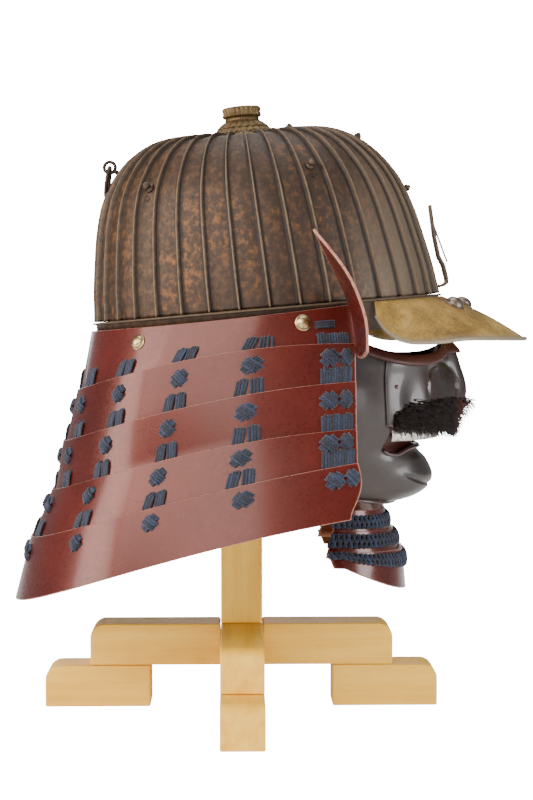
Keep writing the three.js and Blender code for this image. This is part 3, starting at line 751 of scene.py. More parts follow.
@dataclass(frozen=True)
class DarkIron(Finish):
    """Forged iron with a black oxide skin, dull with small pits."""

    def paint(self, recipe: Recipe) -> None:
        """Brown-black mottling with bare worn edges.

        Args:
            recipe: The material being made.
        """
        mottle = recipe.noise(3.5, 5.0, 0.6)
        base = recipe.ramp(mottle, [(0.3, "#1c1613"), (0.55, "#3a2e26"), (0.75, "#5a4636")])
        base = recipe.blend(recipe.maths("MULTIPLY", recipe.attribute(WEAR_AND_LIT_HAIR_TIPS), 0.7), base, "#a08b70")
        recipe.set(base=base, rough=recipe.band(mottle, 0.3, 0.7, 0.35, 0.6))
        recipe.emboss((mottle, 0.2, 0.5))


@dataclass(frozen=True)
class WornGilt(Finish):
    """Gold lacquer over iron, rubbed thin: ochre with brown showing through in spots and along the rim."""

    rust: float = 0.5  # how much brown shows
    tarnish: float = 0.0  # how far the whole is darkened

    def paint(self, recipe: Recipe) -> None:
        """Ochre clouds, brown specks and a bare greyish rim.

        Args:
            recipe: The material being made.
        """
        cloud = recipe.noise(22, 4.0, 0.6)
        speck = recipe.noise(2.4, 6.0, 0.7)
        base = recipe.ramp(cloud, [(0.3, "#6e5526"), (0.5, "#9c7c3a"), (0.72, "#bc9c56")])
        spots = recipe.band(speck, 0.5, 0.66, 0.0, self.rust)
        base = recipe.blend(spots, base, "#5a431f")
        base = recipe.blend(recipe.attribute(WEAR_AND_LIT_HAIR_TIPS), base, "#8f8472")
        if self.tarnish:
            base = recipe.blend(self.tarnish, base, "#2b2118")
        recipe.set(base=base, rough=recipe.band(speck, 0.3, 0.7, 0.34, 0.62))
        recipe.emboss((cloud, 0.4, 0.35), (speck, 0.12, 0.5))


@dataclass(frozen=True)
class RedLacquer(Finish):
    """Red-brown urushi lacquer brushed over iron: a deep gloss with slow waves, and pale worn edges."""

    def paint(self, recipe: Recipe) -> None:
        """A slow drift of red to brown, fine dust, worn pale edges and hairline cracks.

        Args:
            recipe: The material being made.
        """
        broad = recipe.noise(70, 3.0, 0.5)
        fine = recipe.noise(3.0, 5.0, 0.6)
        base = recipe.ramp(broad, [(0.3, "#3b0f0c"), (0.5, "#44120e"), (0.7, "#501812")])
        base = recipe.blend(recipe.band(fine, 0.6, 0.8, 0.0, 0.05), base, "#300b08")
        cells = add_node(
            recipe.tree,
            "ShaderNodeTexVoronoi",
            {"feature": "DISTANCE_TO_EDGE", "Scale": 1 / (26 * MM)},
            {"Vector": recipe.place},
        ).outputs[0]
        place_of_cracks = recipe.band(recipe.noise(55, 2.0, 0.5), 0.6, 0.66)
        crack = recipe.maths("MULTIPLY", recipe.band(cells, 0.012, 0.0), place_of_cracks)
        base = recipe.blend(recipe.maths("MULTIPLY", crack, 0.55), base, "#3b120c")
        edge = recipe.maths("MULTIPLY", recipe.attribute(WEAR_AND_LIT_HAIR_TIPS), recipe.band(fine, 0.32, 0.5, 0.35, 1.0))
        base = recipe.blend(edge, base, "#a87868")
        recipe.set(base=base, rough=recipe.band(fine, 0.3, 0.75, self.roughness - 0.05, self.roughness + 0.1))
        recipe.shader.inputs["Specular Tint"].default_value = colour("#ffb8ac")
        recipe.emboss((broad, 1.6, 0.25), (fine, 0.03, 0.3), (crack, -0.15, 0.4))


@dataclass(frozen=True)
class BrownLacquer(Finish):
    """Brown-black lacquer over russet iron: glossy, with the hammering just showing."""

    shades: tuple[str, str, str] = ("#190f0d", "#231513", "#301d19")

    def paint(self, recipe: Recipe) -> None:
        """Near-black brown with faint russet clouds.

        Args:
            recipe: The material being made.
        """
        cloud = recipe.noise(24, 4.0, 0.55)
        fine = recipe.noise(2.5, 5.0, 0.6)
        base = recipe.ramp(cloud, list(zip((0.32, 0.55, 0.75), self.shades)))
        base = recipe.blend(recipe.attribute(WEAR_AND_LIT_HAIR_TIPS), base, "#4a231d")
        recipe.set(base=base, rough=recipe.band(fine, 0.3, 0.7, self.roughness - 0.05, self.roughness + 0.1))
        recipe.emboss((cloud, 0.5, 0.15), (fine, 0.02, 0.25))


@dataclass(frozen=True)
class BraidedSilk(Finish):
    """Indigo silk braid: soft, with paler and darker flecks of fibre the size of its stitches."""

    stitch: float = 1.5  # length of a stitch along the cord, drawn a little coarser than the real 1

    def paint(self, recipe: Recipe) -> None:
        """Indigo from cord to cord, with paler and darker flecks of fibre.

        Args:
            recipe: The material being made.
        """
        shade = recipe.attribute(TONE_AND_GROOVE_SHADE)
        fibre = recipe.noise(self.stitch, 3.0, 0.6)
        base = recipe.ramp(shade, [(0.0, "#060a14"), (0.5, "#0e182c"), (1.0, "#1e3050")])
        base = recipe.blend(recipe.band(fibre, 0.54, 0.76, 0.0, 0.45), base, "#3c5480")
        base = recipe.blend(recipe.band(fibre, 0.46, 0.3, 0.0, 0.7), base, "#0a0f18")
        recipe.set(base=base)
        recipe.emboss((fibre, 0.5, 0.8))


@dataclass(frozen=True)
class PlainMetal(Finish):
    """A small polished or silvered piece, with fine scratches and darker hollows."""

    light: str = "#b9aea2"
    dark: str = "#6b5f55"

    def paint(self, recipe: Recipe) -> None:
        """Two shades in small clouds.

        Args:
            recipe: The material being made.
        """
        cloud = recipe.noise(4.0, 5.0, 0.6)
        base = recipe.ramp(cloud, [(0.32, self.dark), (0.62, self.light)])
        recipe.set(base=base, rough=recipe.band(cloud, 0.3, 0.7, self.roughness + 0.1, self.roughness - 0.08))
        recipe.emboss((cloud, 0.1, 0.4))


@dataclass(frozen=True)
class Hair(Finish):
    """Stiff boar bristle, dark at the root and russet where light comes through the tips."""

    def paint(self, recipe: Recipe) -> None:
        """Shade from strand to strand, and russet tips: painted light shining through them.

        Args:
            recipe: The material being made.
        """
        base = recipe.ramp(recipe.attribute(TONE_AND_GROOVE_SHADE), [(0.0, "#0d0706"), (0.6, "#1a0f0c"), (1.0, "#2c1811")])
        # painted light: russet on the front hairs' tips, as light shining through them, read from the wear
        # attribute
        base = recipe.blend(recipe.attribute(WEAR_AND_LIT_HAIR_TIPS), base, "#7a3a1e")
        recipe.set(base=base)


@dataclass(frozen=True)
class StudioPaper(Finish):
    """The pale matt floor that the stand rests on, bright enough to leave only a faint shadow."""

    glow: float = 17.0  # as seen; it doesn't light the object

    def paint(self, recipe: Recipe) -> None:
        """Almost white, with a barely visible cloud.

        Args:
            recipe: The material being made.
        """
        cloud = recipe.noise(400, 2.0, 0.5)
        recipe.set(base=recipe.ramp(cloud, [(0.3, "#f6f6f5"), (0.7, "#fafaf9")]))
        seen = add_node(recipe.tree, "ShaderNodeLightPath").outputs["Is Camera Ray"]
        recipe.shader.inputs["Emission Color"].default_value = (1, 1, 1, 1)
        strength = recipe.maths("MULTIPLY", seen, self.glow)
        recipe.tree.links.new(strength, recipe.shader.inputs["Emission Strength"])


BOWL_IRON = RussetIron("russet_iron_hammered", "russet_iron", metallic=0.35)
BAND_IRON = RussetIron("russet_iron_band", "russet_iron", metallic=0.3, shade=0.45)
DARK_IRON = DarkIron("black_iron_forged", "dark_iron", metallic=0.6)
VISOR_GILT = WornGilt("gold_lacquer_rubbed", "worn_gilt", metallic=0.35, rust=0.6)
CROWN_GILT = WornGilt("gilt_copper_tarnished", "worn_gilt", metallic=0.5, rust=0.9, tarnish=0.75)
RIVET_BRASS = PlainMetal("brass_domed", "worn_gilt", 0.3, 1.0, light="#c9b48a", dark="#8d7648")
RIVET_STEEL = PlainMetal("steel_polished", "polished_iron", 0.42, 0.9, light="#8f8074", dark="#4f433c")
PLATE_LACQUER = RedLacquer("red_lacquer_brushed", "red_lacquer", roughness=0.3, coat=0.3, coat_roughness=0.14)
THROAT_LACQUER = RedLacquer("red_lacquer_throat", "red_lacquer", roughness=0.3, coat=1.0, coat_roughness=0.16)
RIM_SHADES = ("#2c0f0b", "#3d1610", "#4d1e16")
RIM_LACQUER = BrownLacquer("red_brown_lacquer_rim", "brown_lacquer", 0.4, shades=RIM_SHADES)
MASK_LACQUER = BrownLacquer("brown_lacquer_over_iron", "brown_lacquer", 0.36, coat=0.7, coat_roughness=0.16)
SILK = BraidedSilk("indigo_silk_braid", "navy_silk", roughness=0.75, sheen=0.15)
BRISTLE = Hair("boar_bristle", "bristle", roughness=0.5)
SILVERED = PlainMetal("silver_leaf", "silver", 0.3, 0.9, light="#d9d6cf", dark="#9a958c")
FLOOR = StudioPaper("studio_paper_matt", "stand_wood", roughness=0.9)
WOOD = {grain: PlanedWood("rubberwood_" + grain.name.lower(), "stand_wood", grain=grain) for grain in Grain}


# ---- Frames taken from the CAD ----


@dataclass(frozen=True)
class Frames:
    """The upright and the tipped local frames, whose origin is the middle of the bowl's rim in plan."""

    tilt: float = radians(4.9)  # the helmet is tipped nose-up
    rim_up: float = 337.0
    band_middle: float = 12.7  # the waist band's middle is this far under the rim

    def middle(self) -> float:
        """Returns the local origin's place along the row's Y, in millimetres, from the waist band's box."""
        low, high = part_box("waist_band")
        return (low.y + high.y) / 2 / MM + self.band_middle * sin(self.tilt)

    def upright(self) -> Matrix:
        """Returns the frame of the neck guard and the face guard."""
        return Matrix.Scale(MM, 4) @ Matrix.Translation((0, self.middle(), 0))

    def helmet(self) -> Matrix:
        """Returns the frame of the bowl and what is fixed to it."""
        turn = Matrix.Rotation(-self.tilt, 4, "X")
        return Matrix.Scale(MM, 4) @ Matrix.Translation((0, self.middle(), self.rim_up)) @ turn

    def post(self) -> Matrix:
        """Returns the frame on the stand's post, at floor level."""
        low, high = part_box("stand_post")
        return Matrix.Scale(MM, 4) @ Matrix.Translation((0, (low.y + high.y) / 2 / MM, 0))


FRAMES = Frames()


# ---- The wooden stand ----


@dataclass
class WoodenStand:
    """Four feet, two beams halved over each other and a post, all of one square timber."""

    timber: float = 35.0
    beam_length: float = 256.0
    foot_length: float = 89.0
    foot_reach: float = 38.0
    corner: float = 12.0
    post_top: float = 476.0
    edge: float = 1.4

    def outline(
        self, start: float, end: float, round_start: bool, round_end: bool
    ) -> list[tuple[float, float]]:
        """Draws a bar's side view.

        Args:
            start: Where the bar starts.
            end: Where it ends.
            round_start: Whether its upper corner at the start is rounded.
            round_end: Whether its upper corner at the end is rounded.

        Returns:
            The points, along and up.
        """
        top, radius = self.timber, self.corner
        points = [(start, 0.0), (end, 0.0)]
        turns = [pi / 2 * step / 10 for step in range(11)]
        arc = [(radius * cos(t), radius * sin(t)) for t in turns]
        if round_end:
            points += [(end - radius + across, top - radius + rise) for across, rise in arc]
        else:
            points.append((end, top))
        if round_start:
            points += [(start + radius - rise, top - radius + across) for across, rise in arc]
        else:
            points.append((start, top))
        return points

    def bar(
        self, name: str, outline: Profile, grain: Grain, turn: float, up: float
    ) -> None:
        """Makes a bar from its side view.

        Args:
            name: The CAD node that it stands for.
            outline: Its side view, along and up.
            grain: The way its grain runs.
            turn: Degrees about the post from the wearer's left.
            up: The height of its underside.
        """
        half = self.timber / 2
        solid = Solid()
        solid.sweep([[Vector((along, side, high)) for along, high in outline] for side in (-half, half)])
        where = FRAMES.post() @ Matrix.Rotation(radians(turn), 4, "Z") @ Matrix.Translation((0, 0, up))
        piece = solid.make(name + "_timber", WOOD[grain], where, bevel=self.edge, smooth=False)
        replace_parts(piece, name)

    def halved(self, notch_on_top: bool) -> list[tuple[float, float]]:
        """Draws a beam's side view with the notch that the other beam sits in.

        Args:
            notch_on_top: Whether the notch is in its upper side.

        Returns:
            The points, along and up.
        """
        half, notch, middle = self.beam_length / 2, self.timber / 2 + GAP, self.timber / 2
        points = self.outline(-half, half, True, True)
        if notch_on_top:
            under = middle - GAP / 2
            cut = [(notch, self.timber), (notch, under), (-notch, under), (-notch, self.timber)]
            place_of_cut = next(i for i, (along, up) in enumerate(points) if i > 2 and along < 0)
            return points[:place_of_cut] + cut + points[place_of_cut:]
        cut = [(-notch, 0.0), (-notch, middle + GAP / 2), (notch, middle + GAP / 2), (notch, 0.0)]
        return points[:1] + cut + points[1:]

    def build(self) -> None:
        """Makes every bar of the stand, and gives the hidden rest of the face guard the wood's finish."""
        outer = self.beam_length / 2 + self.foot_reach
        inner = outer - self.foot_length
        feet = {"left": 0, "back": 90, "right": 180, "front": 270}
        for side, turn in feet.items():
            grain = Grain.ALONG_X if turn % 180 == 0 else Grain.ALONG_Y
            self.bar("stand_foot_" + side, self.outline(inner, outer, False, True), grain, turn, 0)
        level = self.timber + GAP
        self.bar("stand_beam_long", self.halved(True), Grain.ALONG_Y, 90, level)
        self.bar("stand_beam_cross", self.halved(False), Grain.ALONG_X, 0, level)
        foot = level + self.timber + GAP
        half = self.timber / 2
        square = [(-half, -half), (half, -half), (half, half), (-half, half)]
        post = Solid()
        post.sweep([[Vector((x, y, up)) for x, y in square] for up in (foot, self.post_top)])
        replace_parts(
            post.make("stand_post_timber", WOOD[Grain.ALONG_Z], FRAMES.post(), bevel=self.edge, smooth=False),
            "stand_post",
        )
        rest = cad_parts["mask_rest"].data.materials
        rest.clear()
        rest.append(WOOD[Grain.ALONG_Y].material())


# ---- The bowl and what is fixed to it ----


@dataclass
class Bowl:
    """The ribbed bowl: plates that meet in raised flanges, a band under them and the small posts."""

    half_length: float = 142.4
    half_width: float = 119.2
    plates: int = 38
    wall: float = 2.0
    rib_height: float = 3.4
    rib_half: float = 0.045  # half a flange's thickness as a share of a plate's width
    crown_shift: float = -7.4
    side_drop: float = 4.0  # how much lower the bowl is beside the crown than in front of it and behind
    rows: int = 60
    profile: tuple[tuple[float, float], ...] = (
        (1, 0), (0.99, 20), (0.961, 45), (0.919, 74), (0.86, 98.5), (0.771, 118),
        (0.663, 132.5), (0.52, 142.4), (0.345, 145.2), (0.21, 144.8), (0.09, 144.2),
    )  # fraction of the rim's half length, height over the rim

    def point(self, angle: float, along: float, stand: float = 0.0) -> Vector:
        """Finds a point of the bowl.

        Args:
            angle: Radians from the back.
            along: 0 at the rim and 1 at the crown.
            stand: Millimetres out from the face.

        Returns:
            The local point.
        """
        reach, up = spline(self.profile, along)
        small = 1e-3
        ahead, behind = spline(self.profile, along + small), spline(self.profile, along - small)
        slope = Vector(((ahead[0] - behind[0]) * self.half_length, ahead[1] - behind[1])).normalized()
        outward, lift = stand * slope.y, -stand * slope.x
        up -= self.side_drop * sin(angle) ** 2 * bell(reach - 0.3, 0.24)
        shift = self.crown_shift * clamp(up / 150)
        forward = shift - (self.half_length * reach + outward) * cos(angle)
        return place(forward, (self.half_width * reach + outward) * sin(angle), up + lift)

    def normal(self, angle: float, along: float) -> Vector:
        """Returns the outward normal of the bowl's face."""
        return surface_normal(self.point, angle, along, place(0, 0, 40))

    def relief(self) -> list[tuple[float, float, float, float]]:
        """Returns a plate's section: place across it, height as a share of a flange, wear, and tone as painted
        shade, low in the grooves beside the flanges.
        """
        h = self.rib_half
        return [
            (-0.5 + h * 0.45, 1.0, 1.0, 0.5), (-0.5 + h * 0.8, 0.85, 0.5, 0.3), (-0.5 + h, 0.1, 0.0, 0.0),
            (-0.5 + h * 2.4, 0.0, 0.0, 0.0), (-0.5 + h * 4.4, 0.02, 0.0, 0.4), (-0.15, 0.1, 0.0, 0.5),
            (0.08, 0.12, 0.0, 0.5), (0.3, 0.06, 0.0, 0.5), (0.5 - h * 3.8, 0.02, 0.0, 0.45),
            (0.5 - h * 2.2, 0.0, 0.0, 0.05), (0.5 - h * 1.05, 0.1, 0.0, 0.0), (0.5 - h * 0.8, 0.9, 0.6, 0.4),
            (0.5 - h * 0.45, 1.0, 1.0, 0.5),
        ]

    def build(self) -> None:
        """Makes the bowl."""
        pitch = 2 * pi / self.plates
        section = self.relief()
        places = [((plate + part[0]) * pitch, part[1]) for plate in range(self.plates) for part in section]
        outer: Grid = []
        inner: Grid = []
        for row in range(self.rows):
            along = row / (self.rows - 1)
            tall = self.rib_height * clamp((1 - along) * 5, 0.3, 1) * mix(1.25, 1.0, clamp(along * 14))
            outer.append([self.point(angle, along, high * tall) for angle, high in places])
            inner.append([self.point(angle, along, -self.wall) for angle, _ in places])
        solid = Solid()
        count = len(section)
        solid.shell(outer, inner, closed=True, wear=lambda row, column: section[column % count][2])
        # tone here is painted shade: low in the grooves at the flanges' feet
        for index in range(self.rows * self.plates * count):
            solid.tone[index] = section[index % count][3]
        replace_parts(solid.make("bowl_ribbed", BOWL_IRON, FRAMES.helmet()), "bowl")

    def rim(self, angle: float, outward: float, up: float) -> Vector:
        """Returns a point beside the rim's outline, moved outwards, at a height over the rim."""
        forward = -(self.half_length + outward) * cos(angle)
        return place(forward, (self.half_width + outward) * sin(angle), up)


@dataclass
class WaistBand:
    """The band under the bowl, whose ledge the ribs end on."""

    bowl: Bowl
    outward: float = 2.6
    ledge: float = 5.4
    ledge_thick: float = 1.7
    wall: float = 2.2
    depth: float = 25.0

    def build(self) -> None:
        """Makes the band."""
        under = -GAP - self.ledge_thick
        line = [
            (self.outward - self.wall, -self.depth), (self.outward - self.wall, -GAP),
            (self.ledge - 0.5, -GAP), (self.ledge, -GAP - 0.5), (self.ledge, under + 0.5),
            (self.ledge - 0.5, under), (self.outward + 0.6, under), (self.outward, under - 0.6),
            (self.outward, -self.depth),
        ]
        worn = (0, 0, 0.7, 1, 1, 0.4, 0, 0, 0)
        steps = 240
        solid = Solid()
        for (reach, up), wear in zip(line, worn):
            ring = [self.bowl.rim(2 * pi * step / steps, reach, up) for step in range(steps)]
            solid.add_points(ring, wear)
        for index in range(len(line)):
            a, b = index * steps, (index + 1) % len(line) * steps
            for step in range(steps):
                after = (step + 1) % steps
                solid.faces.append((a + step, a + after, b + after, b + step))
        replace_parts(solid.make("waist_band_ledge", BAND_IRON, FRAMES.helmet()), "waist_band")


@dataclass
class CrownFitting:
    """The open crown fitting: a beaded base, two tiers of petals and a fluted mouth."""

    bowl: Bowl
    base: float = 146.7
    bore: float = 9.2
    beads: int = 44
    bead_reach: float = 27.6  # from the axis to the middle of a bead

    def tier(self, solid: Solid, profile: Profile, petals: int, swell: float) -> None:
        """Adds a turned ring with petals.

        Args:
            solid: What it is added to.
            profile: Closed outline of the ring as radius and height.
            petals: How many petals go round.
            swell: How far a petal's middle stands out.
        """
        outline = [*profile, profile[0]]
        outermost = max(radius for radius, _ in profile)

        def petal(turn: float, up: float, line: int) -> float:
            """Returns how far the ring stands out at a turn."""
            share = clamp((outline[line][0] - self.bore) / (outermost - self.bore))
            return swell * share * (abs(cos(petals * turn / 2)) - 0.5)

        solid.lathe(outline, self.centre(), UP, 144, petal)

    def centre(self) -> Vector:
        """Returns the foot of the fitting's axis."""
        return place(self.bowl.crown_shift, 0, self.base)

    def build(self) -> None:
        """Makes the fitting."""
        solid = Solid()
        bore = self.bore
        flange = [(bore + 2, -1), (29.4, -3.4), (30.6, -2.9), (30.2, -1.8), (25, 1.4), (bore + 2, 4.2)]
        lower = [(bore + 1, 1), (26.6, 0.6), (26, 2.2), (20, 5.6), (bore + 1, 8.5)]
        upper = [(bore + 0.5, 5), (21.6, 4.8), (20.6, 6.6), (16, 10.4), (bore + 0.5, 12.6)]
        neck = [(bore, 10), (14.6, 10.6), (14, 12.6), (14, 15), (bore, 15)]
        mouth = [
            (bore, 14.4), (15.2, 14.6), (15.9, 16), (15.2, 18.6), (15.9, 21.4), (14.8, 23), (bore + 0.6, 23),
            (bore, 22),
        ]
        self.tier(solid, flange, 28, 0.8)
        self.tier(solid, lower, 24, 1.6)
        self.tier(solid, upper, 20, 1.8)
        self.tier(solid, neck, 40, 0.5)
        self.tier(solid, mouth, 26, 1.3)
        bead = [(1.5, 0), (1.4, 0.9), (0.8, 1.5), (0, 1.7)]
        for step in range(self.beads):
            turn = 2 * pi * step / self.beads
            around = Vector((self.bead_reach * cos(turn), self.bead_reach * sin(turn), -0.6))
            solid.lathe(bead, self.centre() + around, UP, 8, wear=lambda line: 1.0)
        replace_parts(solid.make("crown_fitting", CROWN_GILT, FRAMES.helmet()), "finial")


@dataclass
class Visor:
    """The peak: a worn gilt plate with a rolled rim, riveted to the front of the bowl."""

    bowl: Bowl
    band: WaistBand
    wall: float = 1.8
    crown: float = 3.0
    rim: float = 1.5
    edge: tuple[tuple[float, float, float, float], ...] = (
        (0, 216, 0, -44.2), (9, 210, 32, -44), (17, 196, 58, -42.5), (26, 176, 82, -40.3),
        (34, 152, 101, -38.3), (42, 126, 113, -38.5), (49, 104, 117, -36), (54, 89, 113, -27),
        (56, 82, 106, -14),
    )  # root angle from the front in degrees, then forward, side and up

    def outline(self) -> list[tuple[float, ...]]:
        """Returns the whole edge from the right end to the left one, with the root angle first."""
        right = [(-a, f, -s, u) for a, f, s, u in reversed(self.edge[1:])]
        return [*right, *self.edge]

    def point(self, across: float, along: float) -> Vector:
        """Finds a point of the upper face.

        Args:
            across: From -1 at the right end to 1 at the left one.
            along: From 0 at the root to 1 at the edge.

        Returns:
            The local point.
        """
        angle, forward, side, up = spline(self.outline(), (across + 1) / 2)
        root_up = -2 * GAP - self.band.ledge_thick
        root = self.bowl.rim(pi - radians(angle), self.band.ledge, root_up)
        bulge = self.crown * sin(pi * along) * (1 - across * across)
        return root.lerp(place(forward, side, up), along) + Vector((0, -0.5, 0.85)) * bulge

    def normal(self, across: float, along: float) -> Vector:
        """Returns the upper face's normal."""
        return surface_normal(self.point, across, along, place(120, 0, -150))

    def build(self) -> None:
        """Makes the plate with its rolled rim and rivets."""
        columns, rows = 97, 17
        grid = [
            [self.point(2 * column / (columns - 1) - 1, row / (rows - 1)) for column in range(columns)]
            for row in range(rows)
        ]

        def wear(row: int, column: int) -> float:
            """Returns how worn the plate is: bare at the rim."""
            return clamp((row / (rows - 1) - 0.9) * 8)

        solid = Solid()
        solid.sheet(grid, self.wall, place(100, 0, -80), wear)
        edge = [point.copy() for point in grid[-1]]
        solid.tube(edge, self.rim, UP, 10, wear=1.0)
        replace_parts(solid.make("visor_plate", VISOR_GILT, FRAMES.helmet()), "visor")
        for name, across in (("right", -0.3), ("centre", 0.0), ("left", 0.3)):
            rivet = Solid()
            dome_rivet(rivet, self.point(across, 0.25), self.normal(across, 0.25), 8.6, 6.6)
            piece = rivet.make("visor_rivet_" + name + "_dome", RIVET_STEEL, FRAMES.helmet())
            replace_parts(piece, "visor_rivet_" + name)


def dome_rivet(solid: Solid, point: Vector, normal: Vector, radius: float, height: float) -> None:
    """Adds a domed rivet head with a thin flange round its foot.

    Args:
        solid: What it is added to.
        point: The middle of its foot.
        normal: The way it stands.
        radius: The flange's radius.
        height: From the foot to the top of the dome.
    """
    profile = [(0, 0.1), (radius, 0.1), (radius, 0.5), (radius * 0.9, 0.8)]
    for step in range(9):
        turn = pi / 2 * step / 8
        profile.append((radius * 0.88 * cos(turn), 0.8 + (height - 0.8) * sin(turn)))
    solid.lathe(profile, point, normal, 40)


@dataclass
class BowlTrim:
    """The crest holder, the small posts with dark grommets that stand for their holes, and the staple with its
    ring.
    """

    bowl: Bowl
    ring_radius: float = 12.0
    ring_wire: float = 1.7
    eye_radius: float = 4.7
    eye_wire: float = 1.5
    staple_along: float = 0.52
    staple_stand: float = 11.8
    ring_lean: float = radians(8)

    def crest_holder(self) -> None:
        """Makes the hooked plate that a crest slides onto, with its spring."""
        line = [
            (145, 6), (150, 6.4), (153.4, 8.4), (153.6, 12), (151.8, 23), (148.4, 31), (146, 49), (144.6, 75),
        ]
        half = [7.5, 7.5, 7.5, 7.5, 7.5, 7, 6, 4.6]
        thick = 2.6
        solid = Solid()
        stations = []
        for index, (forward, up) in enumerate(line):
            after, before = line[min(index + 1, len(line) - 1)], line[max(index - 1, 0)]
            run = Vector((after[0] - before[0], after[1] - before[1])).normalized()
            ahead, rise = run.y * thick / 2, -run.x * thick / 2
            wide = half[index]
            corners = ((1, -wide), (1, wide), (-1, wide), (-1, -wide))
            stations.append([place(forward + s * ahead, side, up + s * rise) for s, side in corners])
        solid.sweep(stations, wear=0.3)
        spring = ((146.8, 57), (149, 49), (151.6, 40), (154.6, 29), (155.6, 26))
        path = [place(forward, 0, up) for forward, up in spring]
        solid.tube(path, 2.6, place(1, 0, 0), 10, flat=0.3, wear=0.6)
        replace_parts(solid.make("crest_holder_hooked", DARK_IRON, FRAMES.helmet(), bevel=0.5), "crest_holder")

    def posts(self) -> None:
        """Makes the small posts, each with a collar, and below each of the four paired posts a dark iron
        grommet whose closed middle stands for the hole in the bowl: painted shade in place of the opening.
        """
        places = {
            "back_right": (5, 0.42), "back_left": (-5, 0.42), "front_right": (12, 0.45),
            "front_left": (-12, 0.45), "crown": (19, 0.85), "upper": (19, 0.61), "lower": (19, 0.36),
        }
        profile = [
            (0, 0), (4.2, 0), (3.9, 0.9), (2.4, 1.5), (2.2, 3.2), (3.2, 4.0), (3.1, 5.0), (1.9, 6.6),
            (0.8, 7.6), (0, 7.8),
        ]
        for name, (plate, along) in places.items():
            angle = -plate * 2 * pi / self.bowl.plates
            solid = Solid()
            normal = self.bowl.normal(angle, along)
            solid.lathe(profile, self.bowl.point(angle, along, 0.6), normal, 20, wear=lambda line: 0.12)
            if "_" in name:
                # painted shade: a dark, closed grommet where the hole in the bowl would open
                below = self.bowl.point(angle, along - 0.04, 0.25)
                out = self.bowl.normal(angle, along - 0.04)
                solid.lathe([(0, -0.2), (2.6, -0.2), (2.4, 0.5), (1.2, 0.3), (0, -0.1)], below, out, 20)
            piece = solid.make("post_" + name + "_forged", DARK_IRON, FRAMES.helmet())
            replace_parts(piece, "post_" + name)

    def ring(self) -> None:
        """Makes the staple at the back and the ring that hangs in it."""
        foot = self.bowl.point(0, self.staple_along)
        normal = self.bowl.normal(0, self.staple_along)
        pivot = foot + normal * self.staple_stand
        solid = Solid()
        washer = [(0, 0.4), (5.4, 0.4), (5.4, 0.9), (4.6, 2.2), (3.2, 3.0), (0, 3.0)]
        solid.lathe(washer, foot, normal, 28, wear=lambda line: 0.3)
        neck = self.staple_stand - self.eye_radius
        shank = [(0, 2), (2.1, 2), (1.7, neck - 0.6), (1.5, neck + 0.4), (0, neck + 0.4)]
        solid.lathe(shank, foot, normal, 16)
        solid.ring(pivot, Vector((1, 0, 0)), self.eye_radius, self.eye_wire)
        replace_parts(solid.make("ring_staple_forged", DARK_IRON, FRAMES.helmet()), "ring_staple")
        down = Matrix.Rotation(FRAMES.tilt + self.ring_lean, 4, "X") @ Vector((0, 0, -1))
        hanging = Solid()
        axis = Vector((1, 0, 0)).cross(down)
        hanging.ring(pivot + down * self.ring_radius, axis, self.ring_radius, self.ring_wire, 64, 14)
        piece = hanging.make("flag_ring_forged", DARK_IRON, FRAMES.helmet(), body=FLAG_RING)
        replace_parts(piece, "flag_ring")

    def build(self) -> None:
        """Makes all the trim."""
        self.crest_holder()
        self.posts()
        self.ring()


# ---- The neck guard ----


@dataclass(frozen=True)
class PlateEdge:
    """A horizontal edge of the neck guard: its plan, and its height at the back, beside and at the front."""

    half: float
    wide: float
    roundness: float
    up: tuple[float, float, float]
    front: float


